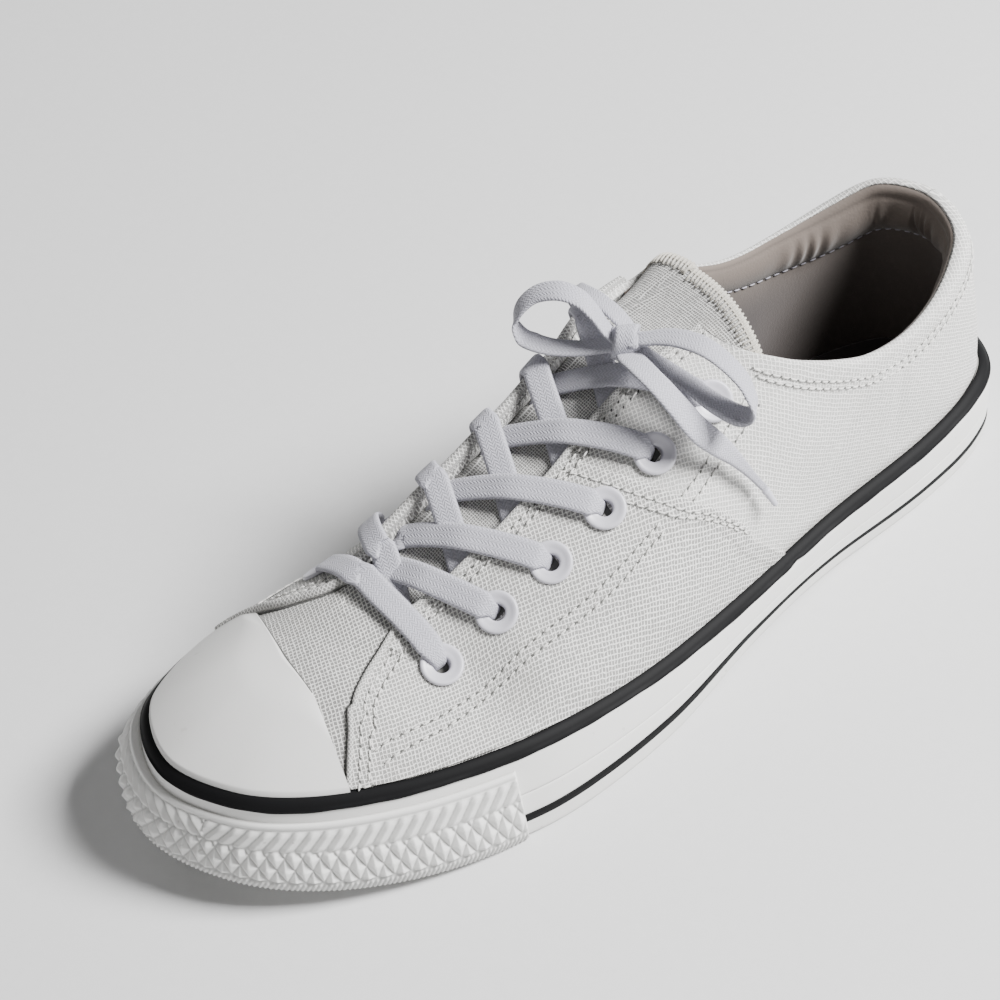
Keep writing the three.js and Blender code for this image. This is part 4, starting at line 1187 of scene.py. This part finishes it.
def make_insole():
    """The footbed, dished, with a soft cover, painted dark as the shade inside the shoe."""
    clear = 7.4  # from the outline to the footbed's edge

    def level(inset, height):
        return lambda y: (-(clear + inset) + 0 * y, sole_bottom(y) + CORE + GAP + height + 0 * y)

    profile = [level(0, 0), level(0, 3.0), level(0.4, 3.8), level(1.4, INSOLE_THICK)]
    side = rings(profile)
    _, y, _ = place(ROUND)
    middle = np.stack([ridge_x(y), np.clip(y, -100, 112), 0 * y], -1)
    inner = []
    for share in np.linspace(0.96, 0, 16):
        flat = middle + (side[-1] - middle) * share
        dish = 1.4 * smoothstep(-np.abs(share), -1, -0.3)
        flat[:, 2] = sole_bottom(flat[:, 1]) + CORE + GAP + INSOLE_THICK - dish
        inner.append(flat)
    points = np.concatenate([side, np.stack(inner)])
    ring_piece("footbed", points, "insole", ["insole"])


class SNEAKER_OT_sole(bpy.types.Operator):
    """Outsole, sidewall, stripes, toe band and footbed"""

    bl_idname = "sneaker.sole"
    bl_label = "Sole"

    def execute(self, context):
        sizes = context.scene.sneaker_sizes
        make_outsole()
        make_foxing()
        make_stripes(sizes.stripe_drop)
        make_bumper(sizes.rib_pitch)
        make_insole()
        return {"FINISHED"}


# ---------------------------------------------------------------- upper
FOLDS = [  # x, y, z of the middle, half length, slope, depth
    (36, 8, 50, 9, 0.5, 0.7), (40, -20, 46, 12, 0.15, 0.5), (30, 28, 62, 8, 1.1, 0.5),
    (34, 70, 45, 10, 0.9, 0.6), (-38, 0, 48, 12, 0.4, 0.5), (-36, 66, 44, 10, 1.0, 0.5),
    (8, -78, 48, 7, 0.0, 0.4), (31, 92, 46, 9, 1.3, 0.5),
]


def creases(points):
    """Soft hollows and folds of worn canvas, as lifts in millimetres."""
    x, y, z = points[..., 0], points[..., 1], points[..., 2]
    lift = 0.35 * np.sin(y / 9.0 + z / 7.0) * np.sin(y / 17.0 - x / 13.0 + 1.0)
    for cx, cy, cz, reach, turn, depth in FOLDS:
        along = (y - cy) * math.cos(turn) + (z - cz) * math.sin(turn)
        over = (z - cz) * math.cos(turn) - (y - cy) * math.sin(turn)
        near = np.exp(-((x - cx) ** 2) / 500 - along**2 / (2 * reach**2))
        lift = lift - depth * near * np.exp(-(over**2) / 6.0)
    return lift


def collar_roll(u):
    """How thick the collar's padded roll is: thin at the eyestays, full round the heel."""
    _, y, _ = place(u)
    return 0.8 + 0.9 * smoothstep(y, 46, 75) + 1.5 * smoothstep(y, 95, 132)


def edge_frame(u, edge):
    """The top edge's points, outward normals and upward directions along the surface."""
    tip, normal = skin(u, edge)
    below, _ = skin(u, edge + (1 - edge) * 0.06)
    return tip, normal, unit(tip - below)


def make_upper():
    """The canvas body: vamp, hidden fronts of the quarters and the heel part, rolled over at its top."""
    u = ROUND
    edge = edge_across(u)
    rows = 62
    tip, tip_normal, up = edge_frame(u, edge)
    _, y, _ = place(u)
    open_top = smoothstep(y, 42, 47)
    radius = collar_roll(u) * open_top
    across = even_across(u, np.ones_like(u), edge, 400)
    run = runs_down(on_last(np.broadcast_to(u, across.shape), across))
    share = np.linspace(0, 1, rows)
    trimmed = np.stack([
        np.interp(share * (run[-1, k] - radius[k]), run[:, k], across[:, k]) for k in range(len(u))
    ], 1)
    wide = np.broadcast_to(u, trimmed.shape)
    body, normal = skin(wide, trimmed)
    lift = creases(body) * smoothstep(share, 0.0, 0.08)[:, None] * smoothstep(body[..., 1], -90, -80)
    lift = lift * (1 - smoothstep(share, 0.85, 1.0)[:, None] * open_top)
    body = body + normal * lift[..., None]
    skirt = ring_at(u, -SKIRT_INSET, wall_top(y) - SKIRT_DROP)
    turn = []
    centre = tip - (up + tip_normal) * radius[:, None]
    for angle in np.linspace(0.12, 0.62, 7) * math.pi:
        roll = centre + (tip_normal * math.cos(angle) + up * math.sin(angle)) * radius[:, None]
        plain = tip + tip_normal * (0.2 - 1.6 * (angle / math.pi))
        turn.append(plain * (1 - open_top[:, None]) + roll * open_top[:, None])
    inner = []
    for step in np.linspace(0.0, 1, 16):
        point, _ = skin(u, edge + (1 - edge) * np.maximum(step, 0.04 * open_top), -1.9)
        inner.append(point)
    points = np.concatenate([skirt[None], body, np.stack(turn), np.stack(inner)])
    flat = cloth_coordinates(points)
    # the cloth's third value: the share towards the heel, where the canvas is painted lighter as painted
    # light
    heel = smoothstep(points[..., 1], -10, 10)
    cloth = np.concatenate([flat, heel[..., None]], -1).reshape(-1, 3)
    closed = edge < 0.002  # where the canvas runs on over the ridge, with nothing to fold in
    faces = [
        face for face in grid_faces(len(points), len(u), wrap_columns=True)
        if not (min(face) >= rows * len(u) and closed[face[0] % len(u)] and closed[face[1] % len(u)])
    ]
    points = points.reshape(-1, 3)
    faces = drilled(points, faces)
    build("canvas_body_cloth", points, faces, material("canvas_body"), ["upper"], cloth, True)


def panel_edge(rows):
    """A panel's end as place round the shoe against share of the height."""
    path = spline(rows, 80)
    u, a = locate(path[:, 0], path[:, 1])
    top = edge_across(u)
    height = np.clip((1 - a) / np.maximum(1 - top, 1e-3), 0, 1)
    order = np.argsort(height)
    return height[order], np.unwrap(u * 2 * math.pi)[order] / (2 * math.pi)


def quarter_grid(side, columns, rows):
    """Places round the shoe in rows from foot to throat, close together at the front and rear edges."""
    front_h, front_u = panel_edge(FRONT_EDGE[side])
    rear_h, rear_u = panel_edge(REAR_EDGE[side])
    share = np.linspace(0, 1, rows)
    first = np.interp(share, front_h, front_u)
    last = np.interp(share, rear_h, rear_u)
    width = np.abs(last - first) * RING_LENGTH
    fine = np.array([0, 0.12, 0.35, 0.7, 1.2, 2.0])
    s = np.empty((rows, columns))
    for k in range(rows):
        ends = fine / width[k]
        middle = np.linspace(ends[-1], 1 - ends[-1], columns - 2 * len(fine) + 2)[1:-1]
        s[k] = np.concatenate([ends, middle, 1 - ends[::-1]])
    u = first[:, None] + (last - first)[:, None] * s
    return u, s, share, width


def rounded(distance):
    """The height of a rounded edge, from 0 at the edge to 1 at the width of its rounding."""
    return np.sqrt(np.clip(1 - (1 - np.clip(distance / RIM_ROUND, 0, 1)) ** 2, 0, 1))


def make_quarter(side, proud):
    """One quarter: a canvas panel laid over the body, its front, rear and throat edges folded under."""
    columns, rows = 330, 110
    u, s, share, width = quarter_grid(side, columns, rows)
    edge = edge_across(u.ravel()).reshape(u.shape)
    across = 1 - (1 - edge) * share[:, None]
    base = on_last(u, across)
    _, normal = skin(u, across)
    front = s * width[:, None]
    rear = (1 - s) * width[:, None]
    run = runs_down(base)
    top = run[-1] - run
    fold = np.minimum(np.minimum(front, rear * 1.3), top)
    lift = proud * rounded(fold) - 0.15
    hem = 0.22 * smoothstep(fold, 0, 0.7) * smoothstep(-fold, -8.5, -7.0)
    lift = lift + hem + creases(base) * smoothstep(fold, 0.5, 3) * smoothstep(run, 0, 3)
    lift = lift + 0.45 * smoothstep(-top, -5.0, 0.0)
    points = base + normal * lift[..., None]
    flat = cloth_coordinates(points)
    cloth = np.concatenate([flat, (0 * fold)[..., None]], -1).reshape(-1, 3)
    points = points.reshape(-1, 3)
    faces = drilled(points, grid_faces(rows, columns))
    build("quarter_" + side, points, faces, material("canvas_quarter"), (), cloth)


def throat_path(side, count, first, last):
    """The throat's edge in plan."""
    y = np.linspace(first, last, count)
    x = throat_x[side](y)
    return x, y


def make_tongue_root():
    """The canvas that joins the vamp to the tongue, under the first bar of lace."""
    across, along = np.meshgrid(np.linspace(0, 1, 40), np.linspace(0, 1, 26))
    x = -19.0 + 27.0 * across
    y = -77.0 + 14.5 * along + 2.5 * along * (1 - across)
    points, _ = above(x.ravel(), y.ravel(), (-0.7 + 1.1 * smoothstep(along, 0.0, 0.6)).ravel())
    points = points.reshape(*x.shape, 3)
    grid("tongue_root", points, material("canvas_body"), (), cloth_coordinates(points))


def make_rolled_edges():
    """The raw canvas piping along both edges of the throat, and a painted shadow line beside each quarter's
    front fold.
    """
    parts = []
    step = np.arange(240)
    for side, radius, lift, out, first, last in (
        ("medial", 1.8, 1.5, -0.8, -60.0, 44.5), ("lateral", 0.85, 0.75, 0.3, -66.0, 42.0),
    ):
        x, y = throat_path(side, len(step), first, last)
        point, normal = above(x + out, y, lift)
        point = point + normal * (0.12 * np.sin(step / 7.0))[:, None]
        parts.append(tube_parts(point, radius * (0.7 + 0.3 * smoothstep(step, 0, 20)), 14, normal))
    fold_shadows = []
    # painted shadow: a thin dark line on the vamp beside each quarter's front fold
    for side, hand, radius in (("medial", 1, 1.4), ("lateral", -1, 0.85)):
        ends = zip(*throat_path(side, 6, -62.0, -54.0)) if side == "medial" else ()
        path = spline([*FRONT_EDGE[side], *ends], 160)[8:]
        point, normal = above(path[:, 0], path[:, 1], radius * 0.78)
        parts.append(tube_parts(point, radius, 12, normal))
        way = unit(np.gradient(path, axis=0))
        aside = hand * (radius + 0.05)
        beside, normal = above(path[:, 0] + way[:, 1] * aside, path[:, 1] - way[:, 0] * aside, 0.12)
        fold_shadows.append(tube_parts(beside[:118], 0.3, 6, normal[:118]))
    piece_from("front_fold_shadow", fold_shadows, material("painted_shade_dark"))
    piece_from("eyestay_roll", parts, material("canvas_roll"))


def round_heel(y):
    """Places round the heel, from y on the medial side to y on the lateral side."""
    to_heel, from_heel = np.linspace(u_at("medial", y), 1.0, 260), np.linspace(0, u_at("lateral", y), 260)
    return np.concatenate([to_heel[:-1], from_heel])


def make_lining():
    """The soft lining: over the inner half of the roll, out over a padded band, then down to the footbed."""
    u = round_heel(41)
    edge = edge_across(u)
    tip, normal, up = edge_frame(u, edge)
    _, y, _ = place(u)
    radius = collar_roll(u)[:, None] * (0.45 + 0.55 * smoothstep(y, 42, 47))[:, None]
    heel = smoothstep(y, 70, 128)
    centre = tip - (up + normal) * radius
    rows = []
    for angle in np.linspace(0.56, 1.0, 9) * math.pi:
        rows.append(centre + (normal * math.cos(angle) + up * math.sin(angle)) * (radius - 0.06))
    inside = rows[-1]
    phase = u * RING_LENGTH / 1.25 + 2.6 * np.sin(u * 61) + 1.9 * np.sin(u * 137)
    uneven = (0.5 + 0.5 * np.sin(u * 83 + 1)) * heel
    crease = 1.5 * np.exp(-(((1 - u) * RING_LENGTH - 5) ** 2) / 1.2)
    band = 9.0 + 4.5 * heel
    front = 1.8 * (1 - smoothstep(y, 41, 54))
    for step in np.linspace(0.06, 1, 22):
        bulge = (1.0 + 1.5 * heel) * math.sin(step * math.pi) ** 0.7
        fold = 0.6 * uneven * np.sin(phase + 3.5 * step) - crease
        fold = fold * math.sin(step * math.pi) ** 1.5
        rows.append(inside - up * (band * step)[:, None] - normal * (bulge + fold + front)[:, None])
    last = rows[-1]
    bottom = ring_at(u, -(UPPER_INSET + 3.9), sole_bottom(y) + CORE + 4.0)
    for step in np.linspace(0.03, 1, 30):
        ease = step * 0.6 + 0.4 * smoothstep(step)
        line = last * (1 - step) + bottom * step
        out = 1.8 * math.sin(step * math.pi) ** 0.8
        rows.append(line + normal * np.array([1, 1, 0]) * (out * 0.4 * ease))
    points = np.stack(rows)
    run = runs_down(points)
    # painted shade: how far the lining has turned to its dark deep colour, down in the shoe and less at the
    # heel
    tone = smoothstep(run, 6, 26) * (1 - 0.5 * heel)
    cloth = np.stack([run, np.broadcast_to(u * RING_LENGTH, run.shape), tone], -1)
    grid("collar_lining", points, material("lining"), (), cloth)
    # the seam that holds the padding
    foot_of_padding, inward = 30, -normal[8:-8]
    threads, _ = stitch_parts(points[foot_of_padding, 8:-8] + inward * 0.08, inward, 3.0)
    piece_from("lining_seam", threads, material("thread_lilac"))


def make_cap():
    """The rubber toe cap with its rounded rear edge, and a painted shadow line along that edge."""
    u = np.linspace(float(u_at("lateral", -98)), float(u_at("medial", -74)), 560)
    foot = on_last(u, np.ones_like(u))
    u = u[foot[:, 1] < cap_y(foot[:, 0]) - 0.3]
    low, high = np.zeros_like(u), np.ones_like(u)
    for _ in range(HALVINGS):
        middle = (low + high) / 2
        point = on_last(u, middle)
        inside = point[:, 1] < cap_y(point[:, 0])
        high = np.where(inside, middle, high)
        low = np.where(inside, low, middle)
    across = even_across(u, np.ones_like(u), high, 70)
    wide = np.broadcast_to(u, across.shape)
    base = on_last(wide, across)
    _, normal = skin(wide, across)
    run = runs_down(base)
    left = run[-1] - run
    lift = (1.0 + 0.7 * smoothstep(left, 0, 14)) * rounded(left)
    points = base + normal * lift[..., None]
    points[0, :, 2] = wall_top(place(u)[1]) - GAP
    cloth = np.stack([run, np.broadcast_to(u * RING_LENGTH, run.shape)], -1)
    grid("cap_rubber", points, material("rubber_cap"), ["toe_cap"], cloth)
    # painted shadow: a thin dark line along the cap's rear edge
    line, line_normal = skin(u, high, 0.12)
    shadow = tube_parts(line[4:-2], 0.3, 6, line_normal[4:-2])
    piece_from("cap_edge_shadow", [shadow], material("painted_shade_dark"))


def make_tongue():
    """The padded tongue, with an overlocked edge round its top."""
    rows, columns = 150, 46
    medial = Smooth([(y, x) for x, y in TONGUE_MEDIAL])
    lateral = Smooth([(y, x) for x, y in TONGUE_LATERAL])
    t = np.linspace(0, 1, rows)[:, None]
    s = np.linspace(-1, 1, columns)[None]
    foot, head = -72, 51.0
    y = foot + (head - foot) * t
    y = y + 3.4 * (1 - s**2) * smoothstep(t, 0.85, 1) + 1.4 * -s * smoothstep(t, 0.9, 1)
    left, right = medial(y), lateral(y)
    round_top = 1 - 0.06 * smoothstep(t, 0.95, 1) ** 2
    x = (left + right) / 2 + (right - left) / 2 * s * round_top
    edge = 1 - np.abs(s)
    point, normal = above(x, y, 0.0, TONGUE_DROP)
    puff = 0.35 * smoothstep(edge, 0, 0.3) + 0.25 * np.sin(y / 7.0) * smoothstep(edge, 0, 0.3)
    lift_top = 1.8 * smoothstep(t, 0.86, 1.0) ** 2
    top = point + normal * (puff + lift_top - 0.3)[..., None]
    low = point + normal * (lift_top - TONGUE_THICK * 0.85)[..., None]
    loop = np.concatenate([top, low[:, ::-1]], axis=1)
    flat = np.concatenate([cloth_coordinates(top), cloth_coordinates(top)[:, ::-1]], axis=1)
    grid(
        "tongue_canvas", loop, material("canvas_tongue"), ["tongue"], flat,
        wrap_columns=True, caps=True,
    )
    # the overlocked edge
    first = int(rows * 0.45)
    middle = (top + low) / 2
    path = np.vstack([middle[first:, 0], middle[-1, 1:-1], middle[first:, -1][::-1]])
    path = resample(path, 420)
    _, normal = above(path[:, 0], path[:, 1], 0.0, TONGUE_DROP)
    run = lengths(path)
    along = unit(np.gradient(path, axis=0))
    inward = unit(np.cross(normal, along))
    centre = path.mean(axis=0)
    inward = inward * np.sign(((centre - path) * inward).sum(-1))[:, None]
    face = path + normal * 1.45
    parts = [tube_parts(path + normal * 0.4, 1.15, 12, normal), tube_parts(face + inward * 0.6, 0.28, 6)]
    pitch = 1.35
    for k in range(int(run[-1] / pitch)):
        at = (k + 0.5) * pitch
        p, n, w, f = sample(at, run, path, normal, inward, along)
        turn = np.linspace(-0.5 * math.pi, 0.42 * math.pi, 8)
        over = p + n * 0.4 + (n * np.sin(turn)[:, None] - w * np.cos(turn)[:, None]) * 1.3
        reach = 3.7 + 0.35 * math.sin(k * 2.4)
        onwards, down = np.array([1.2, 2.4, reach])[:, None], np.array([0.0, -0.02, -0.25])[:, None]
        tail = over[-1] + w * onwards + n * down
        path_k = np.vstack([over, tail])
        path_k = path_k + f * np.linspace(-0.8, 0.9, len(path_k))[:, None]
        parts.append(tube_parts(path_k, 0.36, 5))
    piece_from("tongue_overlock", parts, material("overlock"))


# ---------------------------------------------------------------- seams
def stitch_parts(point, normal, pitch):
    """Stitches, and dark dots for the needle holes as painted shade, along a path on the cloth."""
    run = lengths(point)
    count = max(int(run[-1] / pitch), 1)
    threads, dots = [], []
    along = unit(np.gradient(point, axis=0))
    for k in range(count):
        at = (k + 0.5) * run[-1] / count
        p, n, f = sample(at, run, point, normal, along)
        n, f = unit(n), unit(f)
        w = np.cross(n, f)
        half = pitch * 0.36
        s = np.linspace(-1, 1, 6)
        path = p + f * (s * half)[:, None] + n * (0.16 - 0.22 * s**4)[:, None] + w * (0.10 * s)[:, None]
        threads.append(tube_parts(path, 0.27 * np.sqrt(np.clip(1.15 - s**4, 0, 1)), 6, np.tile(n, (6, 1))))
        # painted shade: a dark dot at each needle hole
        turn = np.linspace(0, 2 * math.pi, 8, endpoint=False)
        middle = p + f * pitch * 0.5 + n * 0.07
        long_way, short_way = (np.cos(turn) * 0.46)[:, None], (np.sin(turn) * 0.3)[:, None]
        dots.append((middle + (f + w * 0.35) * long_way + w * short_way, [list(range(8))], np.zeros((8, 2))))
    return threads, dots


def seam_rows():
    """The quarters' sewn rows: each a path in plan and its lift."""
    sizes = bpy.context.scene.sneaker_sizes
    gap, proud = sizes.row_gap, sizes.panel_proud
    rows = []
    for side in ("lateral", "medial"):
        sign = 1 if side == "lateral" else -1
        for k in range(2):
            inward = 2.6 + gap * k
            # along the front edge, inside the quarter
            path = spline(FRONT_EDGE[side], 160)
            way = unit(np.gradient(path, axis=0))
            shift = np.stack([-way[:, 1], way[:, 0]], 1)
            shift = shift * np.sign((shift * np.array([sign * 0.5, 1.0])).sum(-1))[:, None]
            moved = path + shift * inward
            rows.append((moved[2:-14], proud + 0.1))
            # along the rear edge
            path = spline(REAR_EDGE[side], 120) - np.array([0, 1.2 * (inward + 0.8)])
            rows.append((path[22:-4], proud + 0.1))
            # along the throat
            y = np.linspace(-60, 41, 160)
            x = throat_x[side](y) + sign * (2.8 + (gap - 0.4) * k)
            rows.append((np.stack([x, y], 1), proud + 0.35))
            # below the eyelets, round the inner facing
            path = spline(FACING_SEAM[side][k], 220)
            over = np.where(path[:, 1] < (2.0 if side == "lateral" else 0.0), proud + 0.1, 0.15)
            rows.append((path, over))
    return rows


def collar_rows():
    """The two rows below the collar's roll: points and normals."""
    rows = []
    for k in range(2):
        u = round_heel(46)
        edge = edge_across(u)
        share = np.linspace(0, 1, 60)[:, None]
        across = edge + (1 - edge) * share
        run = runs_down(on_last(np.broadcast_to(u, across.shape), across))
        wanted = 6.5 + 2.4 * k
        a = np.array([np.interp(wanted, run[:, j], across[:, j]) for j in range(len(u))])
        rows.append(skin(u, a, 0.08))
    return rows


def make_seams(pitch):
    """All the stitches as one piece, and the painted shade of all their needle holes as another."""
    rows = []
    for path, lift in seam_rows():
        point, normal = above(path[:, 0], path[:, 1], lift)
        rows.append((point + normal * creases(point)[:, None], normal))
    threads, dots = [], []
    for point, normal in rows + collar_rows():
        row_threads, row_dots = stitch_parts(point, normal, pitch)
        threads += row_threads
        dots += row_dots
    piece_from("seam_threads", threads, material("thread"))
    piece_from("seam_hole_shade", dots, material("painted_shade_dark"))


class SNEAKER_OT_upper(bpy.types.Operator):
    """Canvas body, quarters, rolled edges, collar, toe cap and tongue"""

    bl_idname = "sneaker.upper"
    bl_label = "Upper"

    def execute(self, context):
        proud = context.scene.sneaker_sizes.panel_proud
        make_upper()
        for side in ("lateral", "medial"):
            make_quarter(side, proud)
        make_rolled_edges()
        make_tongue_root()
        make_lining()
        make_cap()
        make_tongue()
        return {"FINISHED"}


class SNEAKER_OT_seams(bpy.types.Operator):
    """Every sewn row: stitches and needle holes"""

    bl_idname = "sneaker.seams"
    bl_label = "Seams"

    def execute(self, context):
        make_seams(context.scene.sneaker_sizes.stitch_pitch)
        return {"FINISHED"}


# ---------------------------------------------------------------- eyelets and laces
EYELET_PROFILE = [  # radius, height above the canvas
    (2.15, -2.2), (2.2, -0.6), (2.3, 0.6), (2.5, 1.0), (3.0, 1.22), (3.8, 1.42), (4.6, 1.72), (5.2, 1.85),
    (5.6, 1.78), (5.88, 1.45), (5.9, 1.1), (5.6, 0.85), (3.1, 0.8), (3.0, -2.2),
]


def circle_above(x, y, lift, sides):
    """A point on the canvas, its normal, and unit directions all round it."""
    point, normal = above(np.array([x]), np.array([y]), lift)
    point, normal = point[0], normal[0]
    across = unit(np.cross(normal, [0.0, 1.0, 0.0]))
    over = np.cross(normal, across)
    turn = np.linspace(0, 2 * math.pi, sides, endpoint=False)
    return point, normal, across * np.cos(turn)[:, None] + over * np.sin(turn)[:, None]


def make_eyelets():
    """Twelve dished rings, and a dark disc sunk in each eyelet's opening as painted shade."""
    profile = spline(EYELET_PROFILE, 44)
    discs, sides = [], 32
    for row, (y, lateral, medial) in enumerate(EYELETS):
        for side, x in (("lateral", lateral), ("medial", medial)):
            point, normal, ring = circle_above(x, y, 0.0, 64)
            points = point + ring[None] * profile[:, 0][:, None, None] + normal * profile[:, 1][:, None, None]
            name = f"eyelet_{side}_{row + 1}"
            grid(
                name + "_ring", points, material("enamel"), [name], None,
                wrap_rows=True, wrap_columns=True,
            )
            # painted shade: a dark disc below the ring's opening
            point, normal, ring = circle_above(x, y, -1.9, sides)
            disc = [point + ring * r - normal * (0.4 * (1 - r / 2.6)) for r in (2.6, 1.8, 0.9, 0.1)]
            last = list(range(3 * sides, 4 * sides))
            faces = grid_faces(4, sides, wrap_columns=True) + [last]
            discs.append((np.vstack(disc), faces, np.zeros((4 * sides, 2))))
    piece_from("eyelet_hole_shade", discs, material("painted_shade_dark"))


def lace_path(rows, count):
    """A lace's route from x, y and height above the canvas, and the lace's upper side along it."""
    route = spline(rows, count)
    point, normal = above(route[:, 0], route[:, 1], route[:, 2])
    below, _ = above(route[:, 0], route[:, 1], 0.0)
    across = unit(np.cross(unit(np.gradient(below, axis=0)), normal))
    return point, unit(np.cross(across, unit(np.gradient(point, axis=0))))


def crossing_routes(row):
    """The two routes of one crossing: from under one eyestay, over the tongue, down into the far eyelet."""
    y = EYELETS[row][0] - 1
    end_y, end_lateral, end_medial = EYELETS[row + 1]
    low_y = (-62.5, -53.0, -36.5, -16.5, 1.5)[row]
    routes = []
    for near, sign, start_y, heights, end_x in (
        ("lateral", -1, y, (-3.0, -1.5, 0.2, 3.0, 4.7, 4.7), end_medial),
        ("medial", 1, low_y, (-3.0, -2.0, 0.6, 2.6, 2.9, 3.0), end_lateral),
    ):
        start = np.array([float(throat_x[near](start_y)) - sign * 2.6, start_y])
        end = np.array([end_x, end_y])
        way = unit(end - start)
        shares = (0, 0.14, 0.34, 0.5, 0.66, 0.8)
        route = [(*(start + (end - start) * share), height) for share, height in zip(shares, heights)]
        for before, height in ((4.4, 3.5 if sign < 0 else 2.9), (2.6, 2.0), (1.4, 0.6), (0.9, -2.2)):
            route.append((*(end - way * before), height))
        routes.append(route)
    return routes


def lace_from(rows, width):
    """A lace that narrows as it goes down into its eyelet."""
    point, normal = lace_path(rows, 110)
    run = lengths(point)
    left = run[-1] - run
    narrow = 1 - 0.42 * smoothstep(-left, -6.2, -3.2)
    thick = 1.2 + 0.7 * smoothstep(-left, -7.0, -3.0)
    return lace_parts(point, normal, width * narrow, thick, 12)


def make_laces(width):
    """The five crossings and the first bar."""
    for row in range(5):
        parts = [lace_from(route, width) for route in crossing_routes(row)]
        piece_from(f"lace_row_{row + 1}", parts, material("lace"), [f"lace_crossing_{row + 1}"])
    y, lateral, medial = EYELETS[0]
    route = [
        (medial + 0.9, y, -2.0), (medial + 1.1, y, 0.9), (medial + 3.2, y, 2.6), (medial + 8, y, 3.0),
        (-16, y + 0.3, 3.0), (-5, y - 0.5, 2.6), (8, y, 2.8), (lateral - 6.0, y, 3.1),
        (lateral - 3.2, y, 2.6), (lateral - 1.1, y, 0.9), (lateral - 0.8, y, -2.0),
    ]
    point, normal = lace_path(route, 130)
    run = lengths(point)
    left = np.minimum(run[-1] - run, run)
    narrow = 1 - 0.42 * smoothstep(-left, -9.0, -2.0)
    parts = [lace_parts(point, normal, width * narrow, 1.2 + 0.8 * smoothstep(-left, -7.0, -2.0), 12)]
    piece_from("lace_first_bar", parts, material("lace"), ["lace_bar"])


class SNEAKER_OT_laces(bpy.types.Operator):
    """Eyelets and the lace through them"""

    bl_idname = "sneaker.laces"
    bl_label = "Eyelets and laces"

    def execute(self, context):
        make_eyelets()
        make_laces(context.scene.sneaker_sizes.lace_width)
        return {"FINISHED"}


# ---------------------------------------------------------------- panel and run
class SNEAKER_PT_panel(bpy.types.Panel):
    """The shoe's settings and its steps, in the 3D view's sidebar"""

    bl_idname = "SNEAKER_PT_panel"
    bl_label = "Sneaker"
    bl_space_type = "VIEW_3D"
    bl_region_type = "UI"
    bl_category = "Sneaker"

    def draw(self, context):
        for group in ("sneaker_stage", "sneaker_finish", "sneaker_sizes"):
            settings = getattr(context.scene, group)
            for name in settings.__annotations__:
                self.layout.prop(settings, name)
        for operator in OPERATORS:
            self.layout.operator(operator.bl_idname)


GROUPS = {"sneaker_stage": SneakerStage, "sneaker_finish": SneakerFinish, "sneaker_sizes": SneakerSizes}
OPERATORS = (
    SNEAKER_OT_stage, SNEAKER_OT_bow, SNEAKER_OT_sole, SNEAKER_OT_upper, SNEAKER_OT_laces, SNEAKER_OT_seams,
)


def register():
    for cls in (*GROUPS.values(), *OPERATORS, SNEAKER_PT_panel):
        bpy.utils.register_class(cls)
    for name, cls in GROUPS.items():
        setattr(bpy.types.Scene, name, bpy.props.PointerProperty(type=cls))


def unregister():
    for name in GROUPS:
        delattr(bpy.types.Scene, name)
    for cls in reversed((*GROUPS.values(), *OPERATORS, SNEAKER_PT_panel)):
        bpy.utils.unregister_class(cls)


def main():
    register()
    bpy.ops.sneaker.stage()
    bpy.ops.sneaker.bow()
    bpy.ops.sneaker.sole()
    bpy.ops.sneaker.upper()
    bpy.ops.sneaker.laces()
    bpy.ops.sneaker.seams()


if __name__ == "__main__":
    main()
